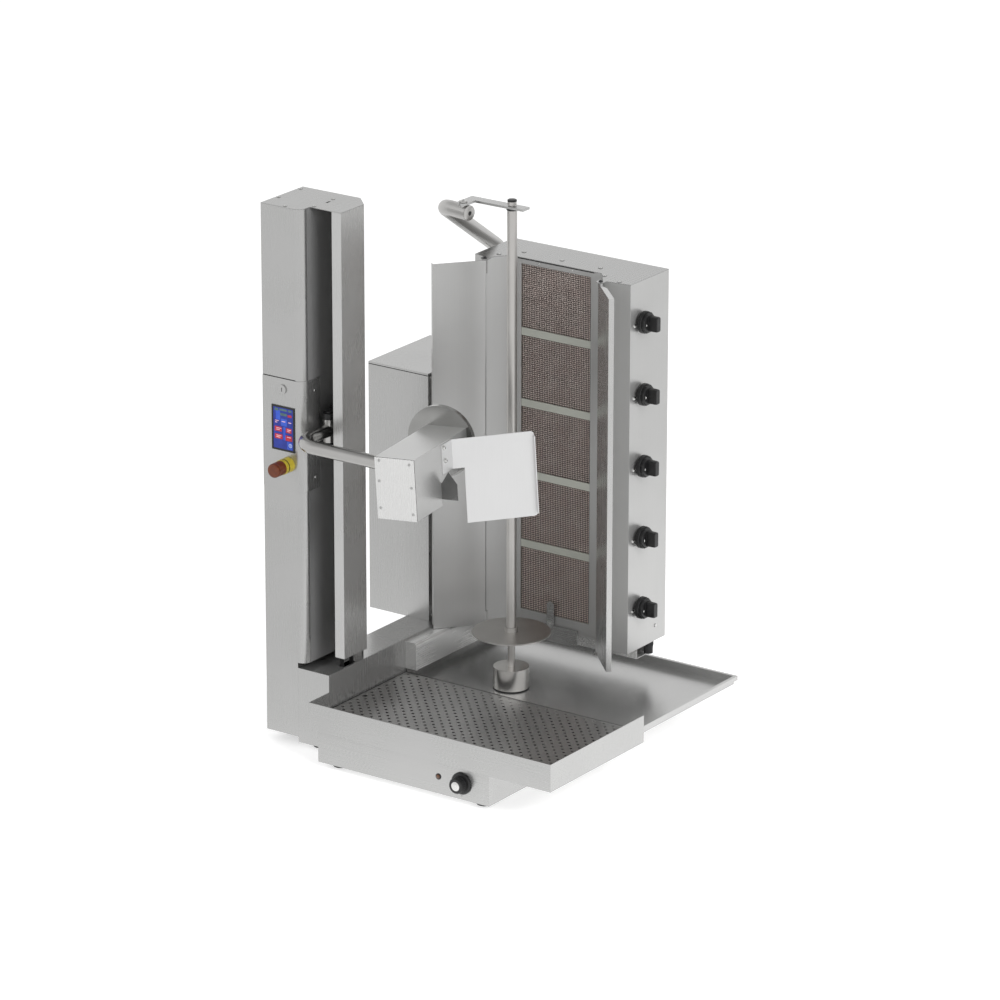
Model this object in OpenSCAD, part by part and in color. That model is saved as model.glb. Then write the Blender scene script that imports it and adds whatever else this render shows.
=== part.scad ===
// Vertical gas grill with an automatic slicing arm, as an assembly of separate pieces.
// The frame: +X to the right seen from the front, +Y to the back, +Z up, origin under the middle.

/* [Base] */
// Depth of the base housing behind the tower front
base_len = 660; // [600:5:720]
// Width of the base housing under the drip tray
base_w = 456; // [420:2:480]
// Height of the base housing
base_h = 73; // [65:1:85]
// How far the heater box stands out in front of the tower
nose_len = 70; // [50:1:90]
// Height of the rubber feet
foot_h = 12; // [8:1:20]
// Height of the side rail that carries the tower
rail_h = 174; // [160:1:190]
// Width of the side rail
rail_w = 85; // [75:1:95]

/* [Tower] */
// Height of the tower cap over the base underside
tower_h = 1222; // [1100:2:1300]
// Width of the tower's closed column
tower_w = 108; // [100:1:120]
// Depth of the tower
tower_d = 151; // [135:1:165]
// Radius of the tower's rounded front corner
tower_r = 20; // [10:1:24]
// Whole width over both columns
mast_w = 190; // [180:1:200]
// Height of the control panel
panel_h = 252; // [240:2:280]
// Height of the control panel's lower edge
panel_z = 583; // [540:1:620]

/* [Slicer] */
// Height of the arm tube at rest
arm_z = 718; // [660:2:780]
// Outer diameter of the arm tube
arm_d = 30; // [26:1:32]
// Bend radius of the arm tube
arm_bend = 50; // [40:1:60]
// Width of the slicer head
head_w = 94; // [86:1:100]
// Length of the slicer head
head_l = 246; // [220:2:270]
// Height of the slicer head
head_h = 137; // [126:1:150]
// Yaw of the slicer head
head_yaw = 8.3; // [5:0.1:12]
// Roll of the slicer head
head_roll = -3.5; // [-6:0.1:0]
// Diameter of the blade guard dish
dish_d = 160; // [140:2:170]
// Width of the thickness guard plate
guard_w = 181; // [160:1:200]
// Height of the thickness guard plate
guard_h = 192; // [170:1:210]

/* [Trays] */
// Width of the drip tray
tray_w = 640; // [600:2:680]
// Depth of the drip tray
tray_d = 357; // [330:1:380]
// Height of the drip tray's walls
tray_h = 63; // [50:1:75]
// Width of the rear pan
pan_w = 627; // [590:1:660]
// Depth of the rear pan behind the drip tray
pan_d = 393; // [360:1:410]

/* [Burner cabinet] */
// Width of the burner cabinet
cab_w = 412; // [400:2:430]
// Depth of the burner cabinet
cab_d = 150; // [140:1:170]
// Height of the burner cabinet
cab_h = 853; // [840:1:900]
// Number of burners
burners = 5; // [3:1:5]
// Length of a wing from its hinge
wing_l = 120; // [100:1:125]

/* [Spit] */
// Diameter of the spit's upper rod
rod_d = 22; // [18:1:26]
// Diameter of the meat disc
disc_d = 176; // [150:2:190]
// Height of the meat disc's top face
disc_z = 218; // [190:1:240]
// Height of the spit's top
spit_z = 1206; // [1150:2:1210]
// Diameter of the drive cup
cup_d = 80; // [66:1:90]

/* [Knobs] */
// Diameter of a gas knob's skirt
knob_d = 50; // [40:1:56]
// Diameter of the thermostat knob
dial_d = 50; // [40:1:56]

/* [Hidden] */

// Sheet thicknesses, clearances and the overrun of every cut
sheet = 1.5;
plate = 3;
run = 0.05;
gap = 0.4;
slide_gap = 0.3;
over = 5;
smooth = 64;

// Side rail and base housing
rail_over = 64;
rail_x1 = tower_w + rail_over;
rail_x0 = rail_x1 - rail_w;
nose_inset = 21;
base_x0 = rail_x1 + nose_inset;
base_x1 = base_x0 + base_w;
hatch_edge = 40;
pan_rib_w = 20;
pan_rib_inset = 60;
foot_r = 18;
foot_inset = 36;
foot_pin_r = 5;
foot_pin_h = 10;
rail_tail = 13;
rail_len = base_len + rail_tail;

// Tower
cap_t = 1.5;
tower_z0 = 12;
skirt_gap = 12;
skirt_z = rail_h + skirt_gap;
flange_w = 25;
flange_y = 33;
guard_lift = 32;
guard_z = rail_h + guard_lift;
chamfer = 35;
front_cut_margin = 16;
panel_t = 1.2;
panel_wrap = 60;
panel_z1 = panel_z + panel_h;
notch_gap = 12;
notch_x = tower_w + notch_gap;
cap_slot = [115, 78];
cap_slot_size = [5, 14];

// Screen, emergency stop and lock on the control panel
screen_w = 62;
screen_h = 102;
screen_x = 56;
screen_up = 139;
screen_z = panel_z + screen_up;
screen_lip = 4;
screen_proud = 1.6;
screen_floor = 0.6;
screen_body_d = 20;
estop_x = 68;
estop_up = 59;
estop_z = panel_z + estop_up;
estop_len = 58;
estop_cap_len = 34.5;
estop_r = 15.8;
estop_collar_r = 17.2;
estop_collar_len = 27;
estop_recess = 9;
estop_stem_r = 7;
estop_body_d = 30;
estop_body_r = 11;
estop_round = 4;
lock_x = 54;
lock_up = 228;
lock_z = panel_z + lock_up;
lock_r = 8;
lock_lip_r = 10.5;
lock_lip_h = 3;
lock_body_d = 18;
key_slot_w = 2;
key_slot_h = 9;
key_slot_d = 3;

// Lift in the tower: mast, rail, belt, pulleys, motor and carriage
lift_gap = 26;
lift_x = tower_w + lift_gap;
mast_y0 = 118;
mast_y1 = 146;
mast_half = 20;
mast_wall = 3;
rail_half = 7.5;
rail_t = 13;
rail_groove = 2;
rail_groove_z = 4;
guide_z0 = 240;
guide_top = 32;
guide_z1 = tower_h - guide_top;
belt_gap = 24;
belt_x = lift_x + belt_gap;
belt_half = 5;
belt_t = 1.6;
belt_y = 84;
pulley_r = 16;
pulley_lip_r = 18.5;
pulley_lip_t = 1.2;
pulley_z0 = 126;
pulley_drop = 52;
pulley_z1 = tower_h - pulley_drop;
pulley_bore_r = 4;
bracket_t = 3;
bracket_half = 14;
belt_slot_margin = 4;
motor_r = 28;
motor_shaft_r = 5;
car_h = 90;
car_half = 17;
car_y0 = 88;
car_leg_y1 = 117.6;
car_lug_t = 12;
car_lug_in = 6;
jaw_x1 = 161;
jaw_t = 6;
pivot_y = 60;
pivot_r = 5;
pivot_head_r = 8;
pivot_head_h = 4;
lug_r = 15;
sleeve_h = 52;
jaw_half = 10;
arm_wall = 2.5;
arm_front_y = -60;
arm_end_x = 402;

// Slicer head in its own frame: u to the right, v backwards, w up
head_x = 411.5;
head_y = -78;
head_drop = 44;
head_z = arm_z - head_drop;
head_t = 2;
head_step_v = 118;
head_step_w = -15;
clamp_u1 = -8;
clamp_v = 46;
clamp_w0 = 22;
blade_u = -17;
blade_w = 33;
blade_motor_r = 27;
blade_motor_v0 = 108;
blade_motor_v1 = head_l - head_t;
shaft_r = 6;
shaft_bite = 20;
shaft_hole_w = 10;
blade_r = 75;
blade_t = 1.6;
blade_gap = 4;
blade_v = head_l + blade_gap;
blade_bevel = 9;
hub_r = 13;
hub_t = 5;
dish_t = 1.5;
dish_rim = 11;
dish_hole_r = 16;
dish_open_w = 8;
guard_v0 = 126;
guard_v1 = 172;
guard_top = 65;
guard_tab_w = 26;
guard_angle = 37.3;
guard_t = 2;
guard_notch = 1;
guard_corner = 9;
guard_hem = 12;
chute_foot = 18;
chute_w0 = -53;
chute_w1 = -17;
chute_peak = 9;
chute_l = 40;

// Trays
tray_gap = 1;
tray_x0 = rail_x1 + tray_gap;
tray_x1 = tray_x0 + tray_w;
tray_nose = 6.5;
tray_y0 = -nose_len - tray_nose;
tray_y1 = tray_y0 + tray_d;
tray_z0 = base_h;
tray_z1 = tray_z0 + tray_h;
tray_low = 8;
tray_side_low = 20;
dplate_h = 24;
dplate_z = tray_z0 + dplate_h;
dplate_gap = 2.5;
dplate_over = 2;
dplate_leg_end = 45;
finger_r = 6.6;
finger_x = 12.7;
finger_y = 184.5;
pan_up = 12;
pan_floor = tray_z0 + pan_up;
pan_gap = 3;
pan_x0 = rail_x1 + pan_gap;
pan_x1 = pan_x0 + pan_w;
pan_under = 14;
pan_y0 = tray_y1 - pan_under;
pan_y1 = tray_y1 + pan_d;
pan_rim = 18;
pan_lip = 6;
pan_lip_h = 10;
pan_rim_back = 5;
pan_rim_y = tray_y1 + pan_rim_back;
shaft_hole_r = 14;

// Supports of the burner cabinet
beam_w = 29;
beam_x1 = rail_x1 + beam_w;
beam_y0 = tray_y1 + pan_rim_back;
beam_y1 = 650;
beam_z1 = 168;
beam_gap = 1;
beam_z0 = pan_floor + pan_rim + beam_gap;
beam_wall = 2;
beam_r = 8;
cross_y0 = 575;
cross_y1 = 625;
cross_z0 = 128;
cross_x1 = 597;

// Burner cabinet in plan
cab_x1 = 627;
cab_x0 = cab_x1 - cab_w;
cab_mid = 405.5;
cab_z0 = 171;
cab_z1 = cab_z0 + cab_h;
cab_y1 = 643;
cab_y0 = cab_y1 - cab_d;
fold_d = 8;
cab_fold_y = cab_y0 - fold_d;
recess_d = 37;
recess_y = cab_y0 + recess_d;
recess_half = 121;
fold_half = 155;
window_half = 92.5;
window_foot = 32;
window_z0 = cab_z0 + window_foot;
separator = 18;
burner_rest = 28;
burner_pitch = (cab_h - burner_rest) / burners;
frame_t = 2;
frame_margin = 12;
frame_top_gap = 1;
mesh_y = recess_y + sheet + frame_t;
mesh_t = 1;
plaque_t = 12;
plaque_gap = 1;
burner_box_d = 62;
burner_box_inset = 4;
burner_box_wall = 1.5;
port_r = 7;
jet_r = 5;
venturi_l = 52;
manifold_x = 586;
manifold_y = 566;
manifold_r = 9;
valve_r = 12;
valve_l = 30;
knob_y = 533;
knob_drop = 4.5;
knob_z0 = window_z0 + (burner_pitch - separator) / 2 - knob_drop;
knob_gap = 1;
spindle_r = 4;
spindle_l = 13;
spindle_x1 = cab_x1 + spindle_l;
pad_t = 2.7;
pad_w = 20;
pin_half = 153.5;
pin_front = 15;
pin_y = cab_y0 - pin_front;
hinge_r = 4;
barrel_r = 5.6;
ear_r = 10;
ear_fold = 1;
ear_drop = 10;
ear_z0 = cab_z0 - ear_drop;
pin_len = 24;
wing_drop = 6;
wing_z0 = cab_z0 - wing_drop;
wing_top_gap = 3.5;
wing_z1 = cab_z1 - wing_top_gap;
wing_hem = 12;
wing_fold = [15, 40];
wing_angle = 45;
wing_left_angle = 40;
wing_left_z0 = beam_z1 + beam_gap;
hem_gap = 2;
wing_t = 1.2;
barrel_len = 30;
inlet_x = 613;
inlet_y = 598;
inlet_r = 10.48;
inlet_len = 30;
inlet_nut_r = 13;
inlet_nut_h = 12;
inlet_in = 9;
lever_gap = 5;
lock_lever_y = recess_y - lever_gap;
lock_lever_t = 2.5;
lever_px = 397.5;
lever_pivot_up = 14;
lever_pz = cab_z0 + lever_pivot_up;
lever_tab_w = 19;
lever_tab_up = 66;
lever_tab_top = cab_z0 + lever_tab_up;
lever_plate_x0 = 380;
lever_plate_x1 = 470;
lever_plate_drop = 28;
lever_plate_z0 = cab_z0 - lever_plate_drop;
lever_plate_up = 11;
lever_plate_z1 = cab_z0 + lever_plate_up;
lever_round = 6;
lever_pin_r = 4;
lever_boss_r = 8;
lever_head_t = 2;

// Gas knobs and the thermostat dial
knob_neck_r = 9;
knob_neck_l = 6;
skirt_t = 10;
hub_d = 46;
knob_hub_t = 24;
grip_w = 15;
grip_l = 34;
grip_h = 23;
dial_x = 577.5;
dial_z = 38;
dial_gap = 1;
dial_skirt_t = 5;
dial_grip_r = 18;
dial_grip_t = 19;
dial_spindle_r = 3;
dial_spindle_l = 8;
lamp_x = 516;
lamp_z = 39.5;
lamp_r = 5;
lamp_lip_r = 7;
lamp_lip_t = 1.5;
lamp_dome = 4;
lamp_body_l = 20;

// Spit, drive cup and motor
spit_x = 404;
spit_y = 364;
disc_t = 3;
lower_rod_r = 8;
cup_gap = 3;
cup_z0 = pan_floor + cup_gap;
cup_h = 48;
collar_r0 = 24;
collar_r1 = 26;
collar_h = 10;
cup_under_r = 30;
cup_under_d = 9;
rod_seat = 30;
neck_r = 7;
neck_len = 12;
cap_len = 8;
cap_r = 10;
drive_shaft_r = 8;
drive_hole_gap = 2;
motor_top = base_h - sheet;
spit_motor_r = 45;
spit_motor_h = 46;
motor_bite = 24;
disc_hub_r = 15;
disc_hub_h = 10;

// Upper support arm and its latch
post_r = 17;
arm_high_drop = 32.5;
arm_high_z = spit_z - arm_high_drop;
arm_points = [[178, 655, rail_h + 4], [178, 655, 986], [233, 342, arm_high_z], [317, 326, arm_high_z]];
arm_bends = [90, 46];
arm_side = [0.5, 0.8, -0.3];
arm_sides = 32;
arm_steps = 9;
foot_plate_t = 8;
foot_plate_x0 = 151;
foot_plate_x1 = 200;
foot_plate_y0 = 634;
foot_plate_y1 = 673;
latch_p = [302, 325];
latch_t = 5;
latch_half = 13;
latch_tab = 37;
latch_gap = 0.5;
latch_z = arm_high_z + post_r + latch_gap;
latch_pin_r = 5;
latch_seat_r = 9;
latch_head_h = 3;
latch_flare = 3.5;

// Electrics housing behind the tower
box_x0 = -14;
box_x1 = 150;
box_y0 = 405;
box_y1 = 640;
box_z0 = rail_h;
box_z1 = 757;
gland_r = 12;
gland_bore = 6.5;
gland_len = 20;
gland_z = 230;
gland_x = 40;
gland_nut_r = 16;
gland_nut_t = 6;
wire_hole_r = 10;
wire_hole_y = 520;
wire_hole_z = 610;

// Heating element under the drip tray
element_r = 4;
element_x0 = 260;
element_x1 = 560;
element_y0 = -20;
element_rows = 3;
element_step = 80;
element_z = base_h - sheet - element_r;
thermo_r = 16;
thermo_len = 30;

screw_r = 3.5;
screw_h = 1.8;
cap_screws = [[7, 55], [7, 134], [60, 8], [112, 42], [112, 110]];
panel_screw = 27;
panel_screw_y = 42;
box_screw = 12;

// Middle of the whole object in plan, which is the origin
dial_front = dial_gap + dial_skirt_t + dial_grip_t;
min_x = box_x0;
min_y = -nose_len - dial_front;
mid_x = (min_x + tray_x1) / 2;
mid_y = (min_y + pan_y1) / 2;

module place() { translate([-mid_x, -mid_y, foot_h]) children(); }

// A block between two corners
module block(x0, x1, y0, y1, z0, z1) {
  translate([x0, y0, z0]) cube([x1 - x0, y1 - y0, z1 - z0]);
}

// Round bars along each axis, from one end to the other
module bar_z(x, y, z0, z1, r) { translate([x, y, z0]) cylinder(h = z1 - z0, r = r, $fn = smooth); }
module bar_x(x0, x1, y, z, r) {
  translate([x0, y, z]) rotate([0, 90, 0]) cylinder(h = x1 - x0, r = r, $fn = smooth);
}
module bar_y(x, y0, y1, z, r) {
  translate([x, y0, z]) rotate([-90, 0, 0]) cylinder(h = y1 - y0, r = r, $fn = smooth);
}

// Plan of the tower's column: its front right corner is round
module tower_plan(grow, edge_x1) {
  r = tower_r + grow;
  back = tower_d + min(grow, 0);
  translate([-grow, -grow]) square([edge_x1 - tower_r + grow, back + grow]);
  translate([-grow, tower_r]) square([edge_x1 + 2 * grow, back - tower_r]);
  translate([edge_x1 - tower_r, tower_r]) circle(r = r, $fn = smooth);
}

module base_outline(inset) {
  translate([base_x0 + inset, -nose_len + inset])
    square([base_w - 2 * inset, nose_len + base_len - 2 * inset]);
  translate([rail_x1 + inset, inset]) square([nose_inset + over, base_len - 2 * inset]);
}

module base_box() color("silver") place() {
  difference() {
    linear_extrude(base_h) base_outline(0);
    translate([0, 0, sheet]) linear_extrude(base_h - 2 * sheet) base_outline(sheet);
    block(base_x0 + hatch_edge, base_x1 - hatch_edge, hatch_edge - nose_len, base_len - hatch_edge,
      -over, sheet + over);
    bar_y(dial_x, -nose_len - over, -nose_len + over, dial_z, dial_spindle_r + gap);
    bar_y(lamp_x, -nose_len - over, -nose_len + over, lamp_z, lamp_r + run);
    bar_z(spit_x, spit_y, base_h - over, base_h + over, drive_shaft_r + drive_hole_gap);
    for (x = [base_x0 + foot_inset, base_x1 - foot_inset])
      for (y = [foot_inset - nose_len, base_len - foot_inset])
        bar_z(x, y, -over, sheet + over, foot_pin_r);
  }
  for (x = [base_x0 + pan_rib_inset, base_x1 - pan_rib_inset - pan_rib_w])
    block(x, x + pan_rib_w, pan_rim_y + over, base_len - pan_rib_w, base_h + run,
      pan_floor - sheet);
}

module base_feet() color("black") place() {
  for (x = [base_x0 + foot_inset, base_x1 - foot_inset])
    for (y = [foot_inset - nose_len, base_len - foot_inset]) {
      bar_z(x, y, -foot_h, 0, foot_r);
      bar_z(x, y, run, foot_pin_h, foot_pin_r - run);
    }
  for (y = [foot_inset, rail_len - foot_inset]) bar_z(rail_x0 + foot_inset, y, -foot_h, 0, foot_r);
}

// Hollow rail with the flat ledge that the tower stands on
module side_rail() color("silver") place() difference() {
  block(rail_x0, rail_x1, 0, rail_len, 0, rail_h);
  block(rail_x0 + sheet, rail_x1 - sheet, sheet, rail_len - sheet, sheet, rail_h - sheet);
  block(belt_x - belt_half - belt_slot_margin, belt_x + belt_half + belt_slot_margin,
    belt_y - pulley_lip_r - belt_slot_margin, belt_y + pulley_lip_r + belt_slot_margin,
    rail_h - over, rail_h + over);
}

module tower_shell() color("silver") place() {
  difference() {
    translate([0, 0, tower_z0]) linear_extrude(tower_h - cap_t - tower_z0) difference() {
      tower_plan(0, tower_w);
      tower_plan(-sheet, tower_w);
    }
    block(rail_x0, tower_w + over, -over, tower_d + over, tower_z0 - over, skirt_z);
    block(tower_w - sheet - over, tower_w + over, tower_r, tower_d + over, tower_z0 - over,
      tower_h + over);
    block(front_cut_margin, tower_w - tower_r, -over, sheet + over, panel_z + front_cut_margin,
      panel_z1 - front_cut_margin);
  }
  block(tower_w - sheet - over, mast_w - chamfer, tower_d - sheet, tower_d, rail_h,
    tower_h - cap_t);
}

module tower_side_panel() color([0.12, 0.12, 0.12]) place() {
  block(tower_w - sheet, tower_w, tower_r, tower_d - sheet, skirt_z, tower_h - cap_t);
}

module tower_cap() color("silver") place() difference() {
  translate([0, 0, tower_h - cap_t]) linear_extrude(cap_t) {
    tower_plan(0, tower_w);
    polygon([[notch_x, flange_y], [mast_w, flange_y], [mast_w, tower_d - chamfer],
      [mast_w - chamfer, tower_d], [tower_w - over, tower_d], [tower_w - over, flange_y]]);
  }
  translate([cap_slot.x, cap_slot.y, tower_h - over])
    cube([cap_slot_size.x, cap_slot_size.y, 2 * over]);
}

// Folded guard of the slide: front flange, right side and chamfer
module slide_guard() color("silver") place() translate([0, 0, guard_z])
  linear_extrude(tower_h - cap_t - guard_z) {
    translate([mast_w - flange_w, flange_y]) square([flange_w, sheet]);
    translate([mast_w - sheet, flange_y]) square([sheet, tower_d - chamfer - flange_y]);
    polygon([[mast_w, tower_d - chamfer], [mast_w - chamfer, tower_d],
      [mast_w - chamfer, tower_d - 2 * sheet], [mast_w - 2 * sheet, tower_d - chamfer]]);
  }

module control_panel() color("silver") place() difference() {
  intersection() {
    translate([0, 0, panel_z]) linear_extrude(panel_h) difference() {
      tower_plan(panel_t, tower_w);
      tower_plan(0, tower_w);
    }
    block(0, tower_w + over, -over, panel_wrap, panel_z, panel_z1);
  }
  block(screen_x - screen_w / 2 + screen_lip, screen_x + screen_w / 2 - screen_lip, -over, over,
    screen_z - screen_h / 2 + screen_lip, screen_z + screen_h / 2 - screen_lip);
  bar_y(estop_x, -over, over, estop_z, estop_body_r + run);
  bar_y(lock_x, -over, over, lock_z, lock_r + run);
}

module screen_bezel() color("black") place() difference() {
  union() {
    block(screen_x - screen_w / 2, screen_x + screen_w / 2, -panel_t - screen_proud, -panel_t,
      screen_z - screen_h / 2, screen_z + screen_h / 2);
    block(screen_x - screen_w / 2 + screen_lip + gap, screen_x + screen_w / 2 - screen_lip - gap,
      -panel_t, screen_body_d, screen_z - screen_h / 2 + screen_lip + gap,
      screen_z + screen_h / 2 - screen_lip - gap);
  }
  block(screen_x - screen_w / 2 + screen_lip, screen_x + screen_w / 2 - screen_lip,
    -panel_t - screen_proud - over, -panel_t - screen_floor, screen_z - screen_h / 2 + screen_lip,
    screen_z + screen_h / 2 - screen_lip);
}

module screen_glass() color([0.1, 0.15, 0.75]) place()
  block(screen_x - screen_w / 2 + screen_lip, screen_x + screen_w / 2 - screen_lip,
    -panel_t - 2 * screen_floor, -panel_t - screen_floor, screen_z - screen_h / 2 + screen_lip,
    screen_z + screen_h / 2 - screen_lip);

module estop_collar() color([0.95, 0.85, 0.1]) place() difference() {
  union() {
    bar_y(estop_x, -panel_t - estop_collar_len, -panel_t, estop_z, estop_collar_r);
    bar_y(estop_x, -panel_t, estop_body_d, estop_z, estop_body_r);
  }
  bar_y(estop_x, -estop_len, -panel_t - estop_collar_len + estop_recess, estop_z, estop_r + gap);
  bar_y(estop_x, -estop_len, estop_body_d + over, estop_z, estop_stem_r + run);
}

module estop_button() color([0.35, 0.12, 0.08]) place() {
  bar_y(estop_x, -estop_len + estop_round, -estop_len + estop_cap_len, estop_z, estop_r);
  bar_y(estop_x, -estop_len, -estop_len + estop_round, estop_z, estop_r - estop_round);
  bar_y(estop_x, -estop_len + estop_round, estop_body_d - over, estop_z, estop_stem_r);
  translate([estop_x, -estop_len + estop_round, estop_z]) rotate([90, 0, 0])
    rotate_extrude($fn = smooth) intersection() {
      translate([estop_r - estop_round, 0]) circle(r = estop_round, $fn = smooth);
      square([estop_r, estop_round]);
    }
}

module key_lock() color("lightgray") place() difference() {
  union() {
    bar_y(lock_x, -panel_t - lock_lip_h, -panel_t - run, lock_z, lock_lip_r);
    bar_y(lock_x, -panel_t - lock_lip_h, lock_body_d, lock_z, lock_r);
  }
  block(lock_x - key_slot_w / 2, lock_x + key_slot_w / 2, -panel_t - lock_lip_h - over,
    -panel_t - lock_lip_h + key_slot_d, lock_z - key_slot_h / 2, lock_z + key_slot_h / 2);
}

// Box section mast with the top pulley's forked bracket welded to it
module mast() color("gray") place() {
  difference() {
    block(lift_x - mast_half, lift_x + mast_half, mast_y0, mast_y1, rail_h, tower_h - cap_t);
    block(lift_x - mast_half + mast_wall, lift_x + mast_half - mast_wall, mast_y0 + mast_wall,
      mast_y1 - mast_wall, rail_h - over, tower_h);
  }
  for (side = [-1, 1]) {
    x = belt_x + side * (belt_half + pulley_lip_t + gap + bracket_t / 2);
    block(x - bracket_t / 2, x + bracket_t / 2, belt_y - bracket_half,
      side < 0 ? mast_y0 : belt_y + bracket_half, pulley_z1 - bracket_half, tower_h - cap_t);
  }
  bar_x(belt_x - belt_half - pulley_lip_t - gap - bracket_t,
    belt_x + belt_half + pulley_lip_t + gap + bracket_t, belt_y, pulley_z1, pulley_bore_r);
}

module guide_rail() color("lightgray") place() translate([0, 0, guide_z0])
  linear_extrude(guide_z1 - guide_z0) difference() {
    translate([lift_x - rail_half, mast_y0 - rail_t]) square([2 * rail_half, rail_t]);
    for (x = [lift_x - rail_half, lift_x + rail_half])
      translate([x, mast_y0 - rail_t + rail_groove_z]) circle(r = rail_groove, $fn = smooth);
  }

// Stadium band of the toothed belt
module lift_belt() color([0.08, 0.08, 0.08]) place() {
  r0 = pulley_r + slide_gap;
  r1 = r0 + belt_t;
  for (y = [belt_y - r1, belt_y + r0])
    block(belt_x - belt_half, belt_x + belt_half, y, y + belt_t, pulley_z0, pulley_z1);
  for (z = [pulley_z0, pulley_z1]) difference() {
    bar_x(belt_x - belt_half, belt_x + belt_half, belt_y, z, r1);
    bar_x(belt_x - belt_half - over, belt_x + belt_half + over, belt_y, z, r0);
    block(belt_x - belt_half - over, belt_x + belt_half + over, belt_y - r1 - over,
      belt_y + r1 + over, z > rail_h ? z - r1 - over : z, z > rail_h ? z : z + r1 + over);
  }
}

module pulley(z, bore) translate([belt_x, belt_y, z]) rotate([0, 90, 0]) difference() {
  union() {
    cylinder(h = 2 * belt_half, r = pulley_r, center = true, $fn = smooth);
    for (s = [-1, 1]) translate([0, 0, s * (belt_half + pulley_lip_t / 2 + slide_gap / 2)])
      cylinder(h = pulley_lip_t - slide_gap / 2, r = pulley_lip_r, center = true, $fn = smooth);
    cylinder(h = 2 * belt_half + pulley_lip_t, r = pulley_r, center = true, $fn = smooth);
  }
  cylinder(h = 2 * belt_half + 2 * over, r = bore, center = true, $fn = smooth);
}

module top_pulley() color("gray") place() pulley(pulley_z1, pulley_bore_r + run);

module drive_pulley() color("gray") place() pulley(pulley_z0, motor_shaft_r + run);

module lift_motor() color("black") place() {
  bar_x(rail_x0 + sheet, belt_x - belt_half - pulley_lip_t - gap - over, belt_y, pulley_z0, motor_r);
  bar_x(belt_x - belt_half - 2 * over, belt_x + belt_half + pulley_lip_t, belt_y, pulley_z0,
    motor_shaft_r);
  block(rail_x0 + sheet, lift_x, belt_y - bracket_half, belt_y + bracket_half, sheet,
    pulley_z0 - motor_r + over);
}

// Carriage on the rail, with the lugs that hold the arm's pivot and the jaws beside the belt
module carriage() color("gray") place() {
  z0 = arm_z - car_h / 2;
  z1 = arm_z + car_h / 2;
  difference() {
    union() {
      block(lift_x - car_half, lift_x + car_half, car_y0, car_leg_y1, z0, z1);
      for (z = [z0 + car_lug_in, z1 - car_lug_in - car_lug_t]) {
        block(lift_x - lug_r, lift_x + lug_r, pivot_y, car_y0 + over, z, z + car_lug_t);
        bar_z(lift_x, pivot_y, z, z + car_lug_t, lug_r);
      }
      for (y = [belt_y + pulley_r - gap + slide_gap - jaw_t, belt_y + pulley_r + belt_t + gap + slide_gap])
        block(lift_x + car_half - over, jaw_x1, y, y + jaw_t, arm_z - jaw_half, arm_z + jaw_half);
    }
    block(lift_x - rail_half - slide_gap, lift_x + rail_half + slide_gap,
      mast_y0 - rail_t - slide_gap, car_leg_y1 + over, z0 - over, z1 + over);
    bar_z(lift_x, pivot_y, z0, z1, pivot_r);
  }
}

module arm_pivot_pin() color("lightgray") place() {
  top = arm_z + car_h / 2 - car_lug_in;
  bar_z(lift_x, pivot_y, arm_z - car_h / 2 + car_lug_in, top, pivot_r);
  bar_z(lift_x, pivot_y, top, top + pivot_head_h, pivot_head_r);
}

// Bend of a round bar: it goes up +Z and turns towards +X
module elbow(bend_r, turn, r) translate([bend_r, 0, 0]) rotate([90, 0, 0])
  rotate([0, 0, 180 - turn]) rotate_extrude(angle = turn, $fn = smooth)
    translate([bend_r, 0]) circle(r = r, $fn = smooth);

// The arm's run: straight forwards, a quarter turn to the right, then straight
module arm_run(r, extra) {
  bar_y(lift_x, arm_front_y + arm_bend, pivot_y, arm_z, r);
  translate([lift_x, arm_front_y + arm_bend, arm_z]) rotate([90, 0, 0]) elbow(arm_bend, 90, r);
  bar_x(lift_x + arm_bend, arm_end_x + extra, arm_front_y, arm_z, r);
}

module arm_tube() color("lightgray") place() difference() {
  union() {
    arm_run(arm_d / 2, 0);
    bar_z(lift_x, pivot_y, arm_z - sleeve_h / 2, arm_z + sleeve_h / 2, lug_r);
  }
  difference() {
    arm_run(arm_d / 2 - arm_wall, over);
    block(lift_x - lug_r, lift_x + lug_r, pivot_y - lug_r, pivot_y + lug_r, arm_z - sleeve_h,
      arm_z + sleeve_h);
  }
  bar_z(lift_x, pivot_y, arm_z - sleeve_h, arm_z + sleeve_h, pivot_r + run);
}

// The slicer head's own frame, and the way back from it to the arm's frame
module head_place() place() translate([head_x, head_y, head_z]) rotate([0, head_roll, head_yaw])
  children();
module from_head() rotate([0, -head_roll, 0]) rotate([0, 0, -head_yaw])
  translate([-head_x, -head_y, -head_z]) children();

module head_outline(inset) {
  half_w = head_w / 2 - inset;
  half_h = head_h / 2 - inset;
  block(-half_w, half_w, head_t, head_step_v - inset, -half_h, half_h);
  block(-half_w, half_w, head_t, head_l - inset, head_step_w + inset, half_h);
}

// Slicer housing, open at the front, with the block that grips the arm tube
module head_housing() color("silver") head_place() difference() {
  union() {
    difference() {
      head_outline(0);
      head_outline(head_t);
      block(-head_w / 2 + head_t, head_w / 2 - head_t, 0, 2 * head_t, -head_h / 2 + head_t,
        head_h / 2 - head_t);
    }
    block(-head_w / 2 + head_t / 2, clamp_u1, head_t, clamp_v, clamp_w0, head_h / 2 - head_t / 2);
  }
  from_head() bar_x(head_x - head_w, arm_end_x + gap, arm_front_y, arm_z, arm_d / 2 + run);
  bar_y(blade_u, head_l - over, head_l + over, blade_w, shaft_hole_w);
}

module head_cover() color("silver") head_place()
  block(-head_w / 2, head_w / 2, 0, head_t, -head_h / 2, head_h / 2);

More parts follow.
